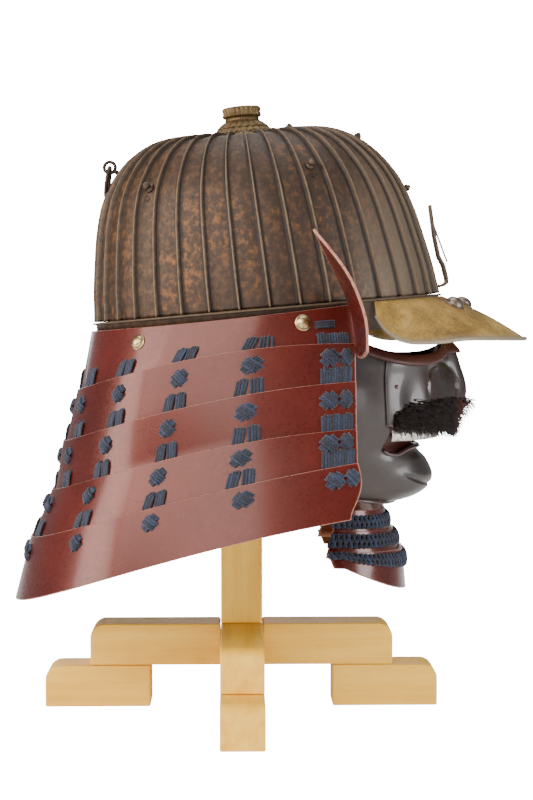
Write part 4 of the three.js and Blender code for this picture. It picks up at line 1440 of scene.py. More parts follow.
@dataclass
class NeckGuard:
    """Five lacquered plates, each standing outside the one above, the first with turned-out wings."""

    wall: float = 2.0
    step: float = 3.1
    overlap: float = 10.0
    beside: float = -40.0
    last_bulge: float = 5.0
    columns: int = 120
    rows: int = 12
    edges: tuple[PlateEdge, ...] = (
        PlateEdge(148.2, 124.9, 2.0, (317.5, 327, 339), 62),
        PlateEdge(159.7, 132, 2.3, (268.6, 301, 309), 66),
        PlateEdge(172, 141, 2.3, (226, 266, 280), 66),
        PlateEdge(181, 150, 2.3, (186, 230, 244), 66),
        PlateEdge(199, 161, 2.3, (147, 198, 219), 66),
        PlateEdge(212.4, 172, 2.3, (95, 156, 177), 60),
    )
    wing_tip: tuple[float, float, float] = (30, 174, 394)
    wing_outer: tuple[tuple[float, float, float], ...] = ((54, 188, 362), (67, 192, 330))
    wing_corner: tuple[float, float, float] = (70, 180, 303)
    wing_columns: int = 24

    def edge_height(self, edge: PlateEdge, forward: float) -> float:
        """Reads the height of an edge, on the parabola through its three heights.

        Args:
            edge: The edge.
            forward: The forward place.

        Returns:
            The height there.
        """
        x = (-edge.half, self.beside, edge.front)
        total = 0.0
        for i in range(3):
            j, k = (i + 1) % 3, (i + 2) % 3
            total += edge.up[i] * (forward - x[j]) * (forward - x[k]) / ((x[i] - x[j]) * (x[i] - x[k]))
        return total

    def edge_point(self, edge: PlateEdge, across: float, inset: float, front: float | None = None) -> Vector:
        """Finds a point of an edge.

        Args:
            edge: The edge.
            across: From -1 at the right front end, round the back, to 1 at the left one.
            inset: How far inside the edge's plan the point lies.
            front: The forward place of the front ends, if not the edge's own.

        Returns:
            The local point.
        """
        reach = edge.front if front is None else front
        half, wide = edge.half - inset, edge.wide - inset
        exponent = 2 / edge.roundness
        last = pi - acos((reach / half) ** (edge.roundness / 2))
        angle = across * last
        forward = -half * signed_power(cos(angle), exponent)
        return place(forward, wide * signed_power(sin(angle), exponent), self.edge_height(edge, forward))

    def point(self, plate: int, across: float, down: float) -> Vector:
        """Finds a point of a plate's outer face.

        Args:
            plate: The plate, counted from the top.
            across: From -1 at the right front end, round the back, to 1 at the left one.
            down: 0 at its top edge and 1 where the next edge crosses.

        Returns:
            The local point.
        """
        top, bottom = self.edges[plate], self.edges[plate + 1]
        is_last = plate == len(self.edges) - 2
        inset = 0.0 if is_last else self.step
        if down > 1 and not is_last:
            under = self.point(plate + 1, across, down - 1)
            return under - self.edge_point(bottom, across, 0) + self.edge_point(bottom, across, inset)
        swell = self.last_bulge * sin(pi * min(down * 1.15, 1)) if is_last else 0.0
        start = self.edge_point(top, across, 0, top.front + swell)
        return start.lerp(self.edge_point(bottom, across, inset, bottom.front + swell), down)

    def normal(self, plate: int, across: float, down: float) -> Vector:
        """Returns the outward normal of a plate's face."""
        inside = place(0, 0, self.point(plate, across, down).z)
        return surface_normal(lambda a, d: self.point(plate, a, d), across, down, inside)

    def half_arc(self, plate: int) -> float:
        """Returns the length of a plate's top edge from the back to a front end."""
        points = [self.edge_point(self.edges[plate], step / 40, 0) for step in range(41)]
        return sum((b - a).length for a, b in zip(points, points[1:]))

    def drop(self, plate: int, across: float) -> float:
        """Returns the height of a plate from its top edge to the next edge, along its face."""
        return (self.point(plate, across, 0) - self.point(plate, across, 1)).length

    def plate_rows(self, plate: int) -> list[float]:
        """Finds the places down a plate where its face is drawn, close together at both edges.

        Args:
            plate: The plate, counted from the top.

        Returns:
            The places, from 0 at its top edge.
        """
        end = 1.0
        if plate < len(self.edges) - 2:
            end += self.overlap / (self.edges[plate + 1].up[1] - self.edges[plate + 2].up[1])
        even = [step / (self.rows - 1) for step in range(self.rows)]
        return sorted({0.0, 0.012, *(share * end for share in even), end - 0.012, end})

    def wing(self, fold: Sequence[Vector], side: int) -> Grid:
        """Makes the columns of a turned-out wing, from its outer edge to the fold.

        Args:
            fold: The plate's end points from top to bottom.
            side: -1 for the wearer's right or 1 for the left.

        Returns:
            The columns, each from top to bottom.
        """
        tip, corner = (place(f, side * s, u) for f, s, u in (self.wing_tip, self.wing_corner))
        outline = [tuple(tip), *(tuple(place(f, side * s, u)) for f, s, u in self.wing_outer), tuple(corner)]
        columns: Grid = []
        for column in range(self.wing_columns):
            out = 1 - column / self.wing_columns
            line = []
            for row, start in enumerate(fold):
                down = row / (len(fold) - 1)
                bottom = fold[-1].lerp(corner, out)
                bottom.z -= 4 * sin(pi * out)
                across = fold[0].lerp(tip, out).lerp(bottom, down)
                rim = start.lerp(Vector(spline(outline, down)), out)
                flat = fold[0].lerp(tip, out).lerp(fold[-1].lerp(corner, out), down)
                line.append(across + rim - flat)
            columns.append(line)
        return columns

    def plate_grid(self, plate: int) -> Grid:
        """Draws a plate's outer face, with the wings on the first.

        Args:
            plate: The plate, counted from the top.

        Returns:
            Its rows of points.
        """
        rows = self.plate_rows(plate)
        even = [2 * column / self.columns - 1 for column in range(self.columns + 1)]
        places = [even[0], -0.9965, *even[1:-1], 0.9965, even[-1]] if plate else even
        grid = [[self.point(plate, across, down) for across in places] for down in rows]
        if plate:
            return grid
        right = self.wing([line[0] for line in grid], -1)
        left = list(reversed(self.wing([line[-1] for line in grid], 1)))
        return [[*(c[row] for c in right), *line, *(c[row] for c in left)] for row, line in enumerate(grid)]

    def build(self) -> None:
        """Makes the plates."""
        inside = place(0, 0, 250)
        for plate in range(len(self.edges) - 1):
            grid = self.plate_grid(plate)
            rows, columns = len(grid), len(grid[0])

            def wear(row: int, column: int, rows: int = rows, columns: int = columns) -> float:
                """Returns 1 along the plate's rim."""
                return float(row in (0, rows - 1) or column in (0, columns - 1))

            solid = Solid()
            solid.sheet(grid, self.wall, inside, wear)
            name = "neck_plate_%d" % (plate + 1)
            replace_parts(solid.make(name + "_lacquered", PLATE_LACQUER, FRAMES.upright(), bevel=0.5), name)
        self.rivets()

    def rivets(self) -> None:
        """Makes the four domed rivets of the first plate."""
        for name, across, down in (("front", 0.87, 0.36), ("back", 0.417, 0.32)):
            for side, sign in SIDES:
                solid = Solid()
                point = self.point(0, sign * across, down)
                dome_rivet(solid, point, self.normal(0, sign * across, down), 6.5, 4.2)
                label = "plate_rivet_" + name + "_" + side
                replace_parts(solid.make(label + "_dome", RIVET_BRASS, FRAMES.upright()), label)


@dataclass(frozen=True)
class LaceColumn:
    """A column of lacing: its places from the back (0) to the front end (1) on each plate."""

    cords: tuple[float, float, float, float]
    knots: tuple[float, float, float, float]
    is_front: bool = False


@dataclass
class Lacing:
    """Spaced lacing: paired runs of braid that go in under each plate, and a crossed knot below each run."""

    guard: NeckGuard
    cord: float = 2.1  # spacing of the braid's cords
    run: float = 13.0
    knot: float = 4.6  # half a knot's width along its cords
    knot_down: tuple[float, float, float, float] = (0.36, 0.36, 0.35, 0.25)
    tie: float = 0.925  # where the short ties beside the front rivets are
    half_arcs: list[float] = field(init=False)  # each plate's top edge, from the back to a front end
    columns: tuple[LaceColumn, ...] = (
        LaceColumn((0, 0, 0, 0), (0, 0, 0, 0)),
        LaceColumn((0.217, 0.237, 0.23, 0.168), (0.212, 0.212, 0.17, 0.145)),
        LaceColumn((0.407, 0.425, 0.412, 0.41), (0.415, 0.412, 0.40, 0.415)),
        LaceColumn((0.605, 0.61, 0.61, 0.618), (0.61, 0.605, 0.608, 0.62)),
        LaceColumn((0.78, 0.78, 0.787, 0.795), (0.78, 0.782, 0.787, 0.802)),
        LaceColumn((0.944, 0.952, 0.955, 0.96), (0.955, 0.955, 0.957, 0.965), True),
    )

    def __post_init__(self) -> None:
        """Measures the plates."""
        self.half_arcs = [self.guard.half_arc(plate) for plate in range(5)]

    def at(self, plate: int, across: float, down_mm: float, aside: float, lift: float) -> Vector:
        """Finds a point near a plate's face.

        Args:
            plate: The plate.
            across: The middle of the column.
            down_mm: Millimetres below the plate's top edge.
            aside: Millimetres from the middle, towards the front end.
            lift: Millimetres out from the face.

        Returns:
            The local point.
        """
        sign = -1 if across < 0 else 1
        a = clamp(across + sign * aside / self.half_arcs[plate], -0.998, 0.998)
        d = down_mm / self.guard.drop(plate, across)
        return self.guard.point(plate, a, d) + self.guard.normal(plate, a, min(d, 0.99)) * lift

    def bundle(
        self, solid: Solid, plate: int, across: float, aside: float, splay: float, chance: Random
    ) -> None:
        """Adds a run of four cords side by side, from their holes to behind the next plate.

        Args:
            solid: What they are added to.
            plate: The plate that they lie on.
            across: The middle of the column.
            aside: Millimetres from there to the middle of the run.
            splay: How far the run moves aside on its way down.
            chance: The source of their small differences.
        """
        height = self.guard.drop(plate, across)
        for index in range(4):
            offset = aside + (index - 1.5) * self.cord * 0.9
            run = self.run if plate else mix(17.0, 8.5, abs(across))
            top = height - run + chance.uniform(-0.5, 0.5) + 0.8 * abs(index - 1.5)
            path = []
            for step in range(9):
                s = step / 8
                lift = 1.5 * min(1, 5 * s) ** 0.5 - 0.9 * s**3 - (0.8 if step == 0 else 0)
                down = mix(top, height + 2.5, s)
                path.append(self.at(plate, across, down, offset + splay * (s - 0.3), lift))
            out = self.guard.normal(plate, across, 0.8)
            solid.tube(path, self.cord * 0.56, out, 8, 0.8, chance.uniform(0.1, 0.75))

    def knot_at(
        self, solid: Solid, plate: int, across: float, aside: float, wide: float, chance: Random
    ) -> None:
        """Adds a knot: one flat braid of four cords laid over another, corner to corner.

        Args:
            solid: What it is added to.
            plate: The plate that it lies on.
            across: The middle of the column.
            aside: Millimetres from there to the middle of the knot.
            wide: Its width as a share of its height.
            chance: The source of the cords' small differences.
        """
        middle = self.guard.drop(plate, across) * self.knot_down[plate - 1]
        out = self.guard.normal(plate, across, self.knot_down[plate - 1])
        reach = self.knot
        for layer, slope in enumerate((-1, 1)):
            for index in range(4):
                offset = (index - 1.5) * self.cord * 0.62
                path = []
                for step in range(11):
                    s = step / 10 * 2 - 1
                    long = reach * s
                    lift = (1.0 + layer * 1.5) * (1 - s * s) ** 0.5 * 1.15 - (0.6 if abs(s) == 1 else 0) + 0.3
                    sideways = (long - offset) * wide
                    down = middle + (long + offset) * slope
                    path.append(self.at(plate, across, down, aside + sideways, lift))
                solid.tube(path, self.cord * 0.5, out, 8, 0.9, chance.uniform(0.2, 0.8))

    def column(self, index: int, sign: int, name: str) -> None:
        """Makes one column of lacing.

        Args:
            index: The column, counted from the back.
            sign: -1 for the wearer's right or 1 for the left.
            name: The CAD node that it stands for.
        """
        column = self.columns[index]
        chance = Random(100 * index + sign)
        solid = Solid()
        for plate in range(4):
            across = sign * column.cords[plate]
            bundles = ((-8.2, 0.4), (-0.4, 0), (7.4, -0.6)) if column.is_front else ((-4.4, -1.2), (4.4, 1.2))
            for aside, splay in bundles:
                self.bundle(solid, plate, across, aside, splay, chance)
            across = sign * column.knots[plate]
            knots = ((-6.4, 1.0), (6.2, 0.7)) if column.is_front else ((0, 1.0),)
            for aside, wide in knots:
                self.knot_at(solid, plate + 1, across, aside, wide, chance)
        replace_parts(solid.make(name + "_braid", SILK, FRAMES.upright()), name)

    def build(self) -> None:
        """Makes every column, and the short tie beside each front rivet."""
        self.column(0, 1, "lace_0")
        for index in range(1, len(self.columns)):
            for side, sign in SIDES:
                self.column(index, sign, "lace_%d_%s" % (index, side))
        for side, sign in SIDES:
            self.short_tie(side, sign * self.tie)

    def short_tie(self, side: str, across: float) -> None:
        """Makes the short tie beside a front rivet: three cords side by side.

        Args:
            side: The side that it is on.
            across: The middle of the tie.
        """
        chance = Random(7)
        solid = Solid()
        for line in range(3):
            path = []
            for step in range(9):
                s = step / 8 * 2 - 1
                lift = 1.3 * (1 - s * s) ** 0.5 - (0.8 if abs(s) == 1 else 0) + 0.4
                path.append(self.at(0, across, 11.2 + line * 1.9, 7.2 * s, lift))
            solid.tube(path, 1.05, self.guard.normal(0, across, 0.4), 8, 0.85, chance.uniform(0.1, 0.4))
        solid.make("short_tie_" + side, SILK, FRAMES.upright())


# ---- The face guard ----


@dataclass(frozen=True)
class Bump:
    """A swelling or hollow of the face guard, centred at a forward and an up place."""

    forward: float
    up: float
    wide: float
    tall: float
    out: float


@dataclass
class FaceGuard:
    """The face guard: cheeks and chin in one piece, a nose piece, teeth and a bristle moustache."""

    wall: float = 1.8
    back: float = 48.0
    squareness: float = 2.4
    side_angle: float = 96.0
    seam_angle: float = 65.0
    lip: float = 222.0
    upper_lip: float = 237.0
    bridge: float = 307.0
    eye_edge_up: float = 297.5
    temple: float = 309.0
    rows: tuple[tuple[float, float, float], ...] = (
        (174, 104, 50), (178, 122, 54), (184, 133, 58), (191, 139, 61), (199, 140, 64), (210, 135, 68),
        (222, 127, 71), (236, 147, 74), (250, 149, 76), (270, 147, 77), (288, 146, 76), (307, 148, 75),
    )  # up, forward place of the face without the nose, half width
    nose: tuple[tuple[float, float, float], ...] = (
        (249, 0, 15), (254, 12, 15), (262, 20, 14), (275, 21, 12), (292, 16, 8), (307, 9, 6),
    )  # up, how far it stands out, half width
    bumps: tuple[Bump, ...] = (
        Bump(148, 267, 7, 11, 4.0), Bump(138, 284, 6, 6, -3.0), Bump(118, 262, 11, 20, -3.5),
        Bump(100, 292, 16, 8, 1.5), Bump(112, 208, 12, 9, -2.0), Bump(118, 186, 16, 5, 1.5),
    )
    table: dict[float, tuple[float, float, float, float]] = field(default_factory=dict)

    def widths(self, up: float) -> tuple[float, float, float, float]:
        """Reads the sizes of the face at a height, each worked out once.

        Args:
            up: The height.

        Returns:
            The face's forward place and half width, and the nose's reach and half width.
        """
        key = round(up, 1)
        if key not in self.table:
            reach, spread = 0.0, 15.0
            if key > self.nose[0][0]:
                reach, spread = (read_table(self.nose, key, column) for column in (1, 2))
            face, wide = (read_table(self.rows, key, column) for column in (1, 2))
            self.table[key] = (face, wide, reach, spread)
        return self.table[key]

    def point(self, angle: float, up: float, lift: float = 0.0) -> Vector:
        """Finds a point of the outer face.

        Args:
            angle: Degrees from straight ahead, towards the wearer's left.
            up: Its height.
            lift: Millimetres out from the face.

        Returns:
            The local point.
        """
        face, wide, out, spread = self.widths(up)
        exponent = 2 / self.squareness
        turn = radians(angle)
        side = wide * signed_power(sin(turn), exponent)
        depth = (face - self.back) * signed_power(cos(turn), exponent)
        forward = self.back + depth + out * bell(side, spread)
        extra = lift
        for bump in self.bumps:
            if abs(side) > 4:
                extra += bump.out * bell(forward - bump.forward, bump.wide) * bell(up - bump.up, bump.tall)
        crease = (hypot((forward - 144.6) / 13.4, (up - 270) / 21) - 1) * 15
        if abs(side) > 5 and up > 262:
            extra -= 1.5 * bell(crease, 1.3) * clamp((up - 262) / 10)
        fold = up - mix(200, 189, clamp((forward - 112) / 26))
        if abs(angle) < 52:
            extra -= 2.0 * bell(fold, 1.8) * clamp((forward - 112) / 12)
        point = place(forward, side, up)
        way = place(forward - self.back, side, 0).normalized()
        return point + way * extra

    def eye_edge(self, angle: float) -> float:
        """Reads the height of the upper edge, which dips under the eyes and rises to the nose's bridge.

        Args:
            angle: Degrees from straight ahead.

        Returns:
            The height there.
        """
        size = abs(angle)
        rise = (self.bridge - self.eye_edge_up) * bell(size, 24)
        return min(self.eye_edge_up + rise + 0.012 * max(0.0, size - 48) ** 2, self.temple)

    def lip_edge(self, angle: float) -> float:
        """Returns the height of the lower lip, which droops beside the chin and rises to the corners."""
        size = abs(angle)
        return self.lip - 5 * bell(size - 50, 12) + 0.25 * max(0.0, size - 56) ** 2

    def sheet(self, angles: Sequence[float], low: Height, high: Height, rows: int, lift: float) -> Solid:
        """Makes a sheet of the face between two heights.

        Args:
            angles: Where its columns stand.
            low: Height of the lower edge at an angle.
            high: Height of the upper edge at an angle.
            rows: How many rows it has.
            lift: How far it stands out.

        Returns:
            The sheet.
        """
        grid = [
            [self.point(angle, mix(low(angle), high(angle), row / (rows - 1)), lift) for angle in angles]
            for row in range(rows)
        ]
        solid = Solid()
        solid.sheet(grid, self.wall, place(self.back, 0, 240), lambda row, column: 0.6 * (row == rows - 1))
        return solid

    def rolled(
        self, solid: Solid, angles: Sequence[float], height: Height, radius: float, flat: float
    ) -> None:
        """Adds a rolled rim, round or flattened, along an edge of the face whose height is given."""
        path = [self.point(angle, height(angle), 0.6) for angle in angles]
        solid.tube(path, radius, UP, 12, flat, wear=0.4)

    def cheeks(self) -> None:
        """Makes the cheeks and chin: all round up to the lip, and up to the eyes beside the seam."""
        side, seam = self.side_angle, self.seam_angle
        cheek = [mix(side, seam, step / 26) for step in range(27)]
        chin = [mix(seam, 0, step / 64) for step in range(1, 65)]
        half = cheek + chin
        angles = [-a for a in half] + list(reversed(half[:-1]))
        jaw_rows, rows = 44, 76

        def low(angle: float) -> float:
            """Returns the height of the lower edge."""
            return self.rows[0][0] + 0.002 * max(0.0, abs(angle) - 30) ** 2

        def middle(angle: float) -> float:
            """Returns the height of the lower lip, or of the line that goes on from it over the cheek."""
            return self.lip_edge(min(abs(angle), seam))

        grid: Grid = []
        for row in range(rows):
            if row <= jaw_rows:
                ups = [mix(low(a), middle(a), row / jaw_rows) for a in angles]
            else:
                share = (row - jaw_rows) / (rows - 1 - jaw_rows)
                ups = [mix(middle(a), max(self.eye_edge(a), middle(a) + 1), share) for a in angles]
            grid.append([self.point(angle, up) for angle, up in zip(angles, ups)])
        inner = offset_grid(grid, -self.wall, place(self.back, 0, 240))

        def has(row: int, column: int) -> bool:
            """Returns whether a cell is below the lip line or beside the nose piece."""
            return row < jaw_rows or min(abs(angles[column]), abs(angles[column + 1])) >= seam - 0.01

        solid = Solid()
        solid.shell(grid, inner, has=has)
        lip = [step / 60 * 118 - 59 for step in range(61)]
        self.rolled(solid, lip, lambda a: self.lip_edge(a) - 0.4, 2.0, 0.8)
        self.rolled(solid, angles, lambda a: low(a) + 0.8, 1.3, 1.0)
        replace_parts(solid.make("cheeks_and_chin", MASK_LACQUER, FRAMES.upright()), "mask_cheeks")

    def nose_piece(self) -> None:
        """Makes the nose piece, which stands a little proud of the cheeks, with its pins."""
        limit = self.seam_angle + 1.5
        angles = [mix(-limit, limit, step / 130) for step in range(131)]

        def low(angle: float) -> float:
            """Returns the height of the upper lip."""
            return self.upper_lip + 0.001 * angle**2

        solid = self.sheet(angles, low, self.eye_edge, 74, 1.5)
        self.rolled(solid, angles, lambda a: low(a) + 0.6, 1.5, 1.0)
        for sign in (-1, 1):
            ups = [mix(low(limit), self.eye_edge(limit), step / 24) for step in range(25)]
            solid.tube([self.point(sign * limit, up, 1.1) for up in ups], 0.8, place(1, 0, 0), 8)
            foot = self.point(sign * (limit - 6), 273, 1.4)
            pin = [(0, 0), (1.9, 0), (1.6, 0.8), (0.8, 1.3), (0, 1.4)]
            solid.lathe(pin, foot, place(0.75, sign * 0.65, 0), 14, wear=lambda line: 1.0)
        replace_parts(solid.make("nose_piece", MASK_LACQUER, FRAMES.upright(), bevel=0.4), "mask_nose")

    def eye_rim(self) -> None:
        """Makes the band that is turned out round the eyes, over both pieces."""
        last = self.side_angle - 1
        angles = [mix(-last, last, step / 160) for step in range(161)]
        outer: Grid = []
        inner: Grid = []
        for down, lift in ((0.8, 1.2), (0.6, 2.0), (-1.5, 3.4), (-5.0, 5.0), (-7.2, 5.4), (-8.0, 4.4)):
            ups = [self.eye_edge(angle) + down * clamp((last + 9 - abs(angle)) / 16) for angle in angles]
            outer.append([self.point(angle, up, lift) for angle, up in zip(angles, ups)])
            inner.append([self.point(angle, self.eye_edge(angle) + down, 1.0) for angle in angles])
        solid = Solid()
        solid.shell(outer, inner, wear=lambda row, column: 1.0 if row in (0, 5) else 0.35)
        solid.make("eye_rim", RIM_LACQUER, FRAMES.upright())

    def teeth(self) -> None:
        """Makes the row of silvered teeth behind the upper lip."""
        grid: Grid = []
        for row in range(9):
            line = []
            for step in range(161):
                angle = mix(-61, 61, step / 160)
                point = self.point(angle, 240)
                way = place(-point.y - self.back, point.x, 0).normalized()
                gum = sin(pi * (row + 0.5) / 9)
                tooth = 1.3 * abs(sin(angle / 122 * pi * 16)) ** 0.5 * gum
                point += way * (tooth - 2.6 - self.wall - GAP)
                point.z = mix(238, mix(229.5, 228, clamp(abs(angle) / 50)), row / 8)
                line.append(point)
            grid.append(line)
        solid = Solid()
        solid.sheet(grid, 1.6, place(self.back, 0, 232))
        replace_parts(solid.make("teeth_silvered", SILVERED, FRAMES.upright()), "teeth")

    def mouth(self) -> None:
        """Makes a dark red sheet that closes the open mouth behind the teeth: red-brown lacquer in colour, set
        there as painted shade for the dark inside of the mouth.
        """
        angles = [mix(-64, 64, step / 64) for step in range(65)]
        grid = [
            [self.point(angle, up, -self.wall - 5.5 * cos(radians(angle))) for angle in angles]
            for up in (213, 218, 223, 228, 233, 238, 243)
        ]
        solid = Solid()
        solid.sheet(grid, 1.0, place(self.back, 0, 230))
        # painted shade: a dark sheet where the open mouth would show only the shaded inside
        solid.make("mouth_shade_sheet", RIM_LACQUER, FRAMES.upright())

    def moustache(self) -> None:
        """Makes the moustache: stiff hairs that fan out from the upper lip into a thick crescent."""
        chance = Random(11)
        solid = Solid()
        for _ in range(6200):
            angle = chance.uniform(-63, 63)
            middle = clamp(1 - (angle / 66) ** 2)
            low, high = mix(241, 238, middle), mix(246, 263, clamp(middle * 2.2) ** 0.6)
            root = self.point(angle, chance.triangular(low, high, low), 1.8)
            out = place(-root.y - self.back, root.x, 0).normalized()
            aside = out.cross(UP)
            length = mix(8, 13.5, middle) * chance.uniform(0.55, 1.25)
            fall = chance.uniform(-1.5, 0.1)
            lean = (-1 if angle < 0 else 1) * 0.35 + chance.uniform(-0.7, 0.7)
            way = (out * mix(0.5, 1.0, middle) + Vector((0, 0, fall)) + aside * lean).normalized()
            tip = root + way * length
            tip.z = max(tip.z, 225 + chance.uniform(0, 7))
            bend = root.lerp(tip, 0.5) + out * 1.8 + Vector((0, 0, 1.4))
            path = [root.lerp(bend, share).lerp(bend.lerp(tip, share), share) for share in (0, 0.35, 0.7, 1)]
            first = len(solid.points)
            solid.tube(path, lambda share: mix(0.46, 0.14, share), UP, 3, tone=chance.random())
            # painted light shining through the front hairs' tips, stored in the wear attribute
            tips = clamp((-root.y - 146) / 14) * middle
            for index in range(first + 6, first + 12):
                solid.wear[index] = tips * (0.4 if index < first + 9 else 1.0)
        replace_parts(solid.make("moustache_bristles", BRISTLE, FRAMES.upright()), "moustache")

    def build(self) -> None:
        """Makes the face guard."""
        self.cheeks()
        self.nose_piece()
        self.eye_rim()
        self.teeth()
        self.mouth()
        self.moustache()


@dataclass
class ThroatGuard:
    """Three lacquered plates under the chin, laced close together with two rows of braid."""

    wall: float = 2.0
    columns: int = 80
    cord: float = 2.3
    plates: tuple[tuple[tuple[float, ...], tuple[float, ...]], ...] = (
        ((52, 62, 100, 171, 169), (56, 60, 103, 155, 153)),
        ((60, 60, 107, 155, 152), (66, 57, 111, 139, 137)),
        ((70, 57, 115, 139, 136), (76, 62, 118, 126, 101)),
    )  # top and bottom edge: half width, back, front, height at the back, height at the front

    @staticmethod
    def edge_point(edge: Sequence[float], across: float) -> Vector:
        """Finds a point of an edge.

        Args:
            edge: Its half width, back, front, height at the back and height at the front.
            across: From -1 at the right rear end to 1 at the left one.

        Returns:
            The local point.
        """
        wide, back, front, up_back, up_front = edge
        angle = across * radians(100)
        forward = back + (front - back) * max(cos(angle), -0.3)
        up = mix(up_back, up_front, max(cos(angle), 0.0))
        return place(forward, wide * signed_power(sin(angle), 0.9), up)

    def point(self, plate: int, across: float, down: float) -> Vector:
        """Returns a point of a plate's outer face."""
        top, bottom = self.plates[plate]
        return self.edge_point(top, across).lerp(self.edge_point(bottom, across), down)

    def braid(self, plate: int, start: float, end: float, name: str) -> None:
        """Makes a row of close lacing.

        Args:
            plate: The plate that it lies on.
            start: Where it starts down the plate.
            end: Where it ends.
            name: The CAD node that it stands for.
        """
        chance = Random(plate)
        inside = place(60, 0, self.point(plate, 0, 0.5).z)
        points = [self.point(plate, step / 40 - 1, start) for step in range(81)]
        length = sum((b - a).length for a, b in zip(points, points[1:]))
        count = int(length / self.cord)
        slant = 2.2 / count
        solid = Solid()
        for index in range(count):
            across = mix(-0.985, 0.985, index / (count - 1))
            normal = surface_normal(lambda a, d: self.point(plate, a, d), across, (start + end) / 2, inside)
            lean = slant if index % 2 else -slant
            path = []
            for step in range(9):
                s = step / 8
                lift = 0.8 + 1.3 * sin(pi * s) ** 0.5 + (0.5 if index % 2 else 0)
                where = clamp(across + lean * (s - 0.5) * 2, -0.995, 0.995)
                path.append(self.point(plate, where, mix(start, end, s)) + normal * lift)
            solid.tube(path, self.cord * 0.56, normal, 8, 0.8, chance.uniform(0.1, 0.8))
        piece = solid.make(name + "_braid", SILK, FRAMES.upright())
        if plate:
            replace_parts(piece, name)

    def build(self) -> None:
        """Makes the plates and their lacing."""
        for plate in range(3):
            rows = [0, 0.03, 0.15, 0.35, 0.55, 0.75, 0.97, 1]
            if plate < 2:
                rows.append(1.35)
            grid = [
                [self.point(plate, 2 * column / self.columns - 1, down) for column in range(self.columns + 1)]
                for down in rows
            ]
            solid = Solid()
            last = len(rows) - 1
            solid.sheet(
                grid,
                self.wall,
                place(60, 0, grid[0][0].z),
                lambda row, column: float(row in (0, last) or column in (0, self.columns)),
            )
            name = "throat_plate_%d" % (plate + 1)
            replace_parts(solid.make(name + "_lacquered", THROAT_LACQUER, FRAMES.upright(), bevel=0.5), name)
        self.braid(0, 0.3, 0.92, "throat_lacing_upper")
        self.braid(1, 0.2, 0.85, "throat_lacing_1")
        self.braid(2, 0.1, 0.45, "throat_lacing_2")


# ---- The studio ----


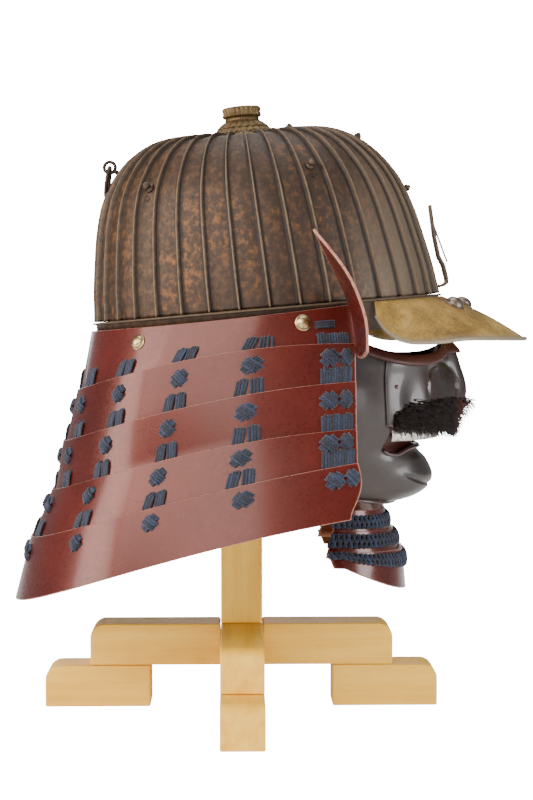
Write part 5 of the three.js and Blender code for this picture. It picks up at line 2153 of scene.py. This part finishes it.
@dataclass
class Studio:
    """The floor, the soft lights and the camera at a level with the neck guard's upper edge."""

    distance: float = 1.4
    up: float = 0.3298
    pitch: float = 2.9
    yaw: float = 1.16
    lens: float = 74.2
    post_offset: float = 0.007

    def floor(self) -> None:
        """Makes the pale floor."""
        reach = 6000.0
        corners = ((-reach, -reach), (reach, -reach), (reach, reach), (-reach, reach))
        mesh = bpy.data.meshes.new("studio_floor")
        mesh.from_pydata([Vector((x, y, -0.2)) * MM for x, y in corners], [], [(0, 1, 2, 3)])
        mesh.materials.append(FLOOR.material())
        plane = bpy.data.objects.new("studio_floor", mesh)
        bpy.context.scene.collection.objects.link(plane)

    def light(
        self, name: str, position: Vector, size: tuple[float, float], power: float, hex_value: str
    ) -> None:
        """Adds a soft panel light aimed at the helmet.

        Args:
            name: Its name.
            position: Where it stands, in metres.
            size: Its width and height, in metres.
            power: Its power in watts.
            hex_value: Its colour.
        """
        data = bpy.data.lights.new(name, "AREA")
        data.shape = "RECTANGLE"
        data.size, data.size_y = size
        data.energy = power
        data.color = colour(hex_value)[:3]
        lamp = bpy.data.objects.new(name, data)
        lamp.location = position
        lamp.rotation_mode = "QUATERNION"
        lamp.rotation_quaternion = (Vector((0, 0, 0.3)) - position).to_track_quat("-Z", "Y")
        bpy.context.scene.collection.objects.link(lamp)

    def world(self) -> None:
        """Sets a white surround that is seen as white but lights and reflects softly."""
        world = bpy.data.worlds.new("studio_surround")
        world.use_nodes = True
        tree = world.node_tree
        tree.nodes.clear()
        seen = add_node(tree, "ShaderNodeBackground", {"Color": (1, 1, 1, 1), "Strength": 20.0})
        soft = add_node(tree, "ShaderNodeBackground", {"Color": (1, 1, 1, 1), "Strength": 0.24})
        path = add_node(tree, "ShaderNodeLightPath")
        links = {"0": path.outputs["Is Camera Ray"], "1": soft.outputs[0], "2": seen.outputs[0]}
        both = add_node(tree, "ShaderNodeMixShader", None, links)
        add_node(tree, "ShaderNodeOutputWorld", None, {"Surface": both.outputs[0]})
        bpy.context.scene.world = world

    def camera(self) -> None:
        """Places the camera on the wearer's right, square to the helmet."""
        low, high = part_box("stand_post")
        data = bpy.data.cameras.new("studio_camera")
        data.sensor_width = 36.0
        data.lens = self.lens
        data.clip_start, data.clip_end = 0.05, 50.0
        eye = bpy.data.objects.new("studio_camera", data)
        eye.location = Vector((-self.distance, (low.y + high.y) / 2 + self.post_offset, self.up))
        pitch, yaw = radians(self.pitch), radians(self.yaw)
        way = Vector((cos(yaw) * cos(pitch), -sin(yaw) * cos(pitch), -sin(pitch)))
        eye.rotation_mode = "QUATERNION"
        eye.rotation_quaternion = way.to_track_quat("-Z", "Y")
        bpy.context.scene.collection.objects.link(eye)
        bpy.context.scene.camera = eye

    def build(self) -> None:
        """Sets up the studio."""
        self.floor()
        self.world()
        self.light("key_panel", Vector((-1.35, 0.95, 1.15)), (1.9, 1.0), 46, "#fff2e8")
        self.light("side_panel", Vector((-0.5, 1.9, 0.75)), (0.7, 1.2), 30, "#fff1e6")
        self.light("front_panel", Vector((-1.0, -1.6, 0.55)), (0.9, 1.2), 26, "#ffffff")
        self.light("top_panel", Vector((0.1, 0.0, 1.9)), (1.4, 1.4), 20, "#ffffff")
        self.light("far_panel", Vector((1.4, 0.3, 0.9)), (1.2, 1.2), 10, "#ffffff")
        self.light("low_panel", Vector((-1.6, 0.1, 0.12)), (1.6, 0.3), 5, "#ffffff")
        self.camera()


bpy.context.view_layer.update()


def main() -> None:
    """Builds every sub-assembly in order."""
    logging.basicConfig(level=logging.INFO, format="%(name)s: %(message)s")
    WoodenStand().build()
    bowl = Bowl()
    bowl.build()
    band = WaistBand(bowl)
    band.build()
    CrownFitting(bowl).build()
    Visor(bowl, band).build()
    BowlTrim(bowl).build()
    guard = NeckGuard()
    guard.build()
    Lacing(guard).build()
    FaceGuard().build()
    ThroatGuard().build()
    Studio().build()


if __name__ == "__main__":
    main()
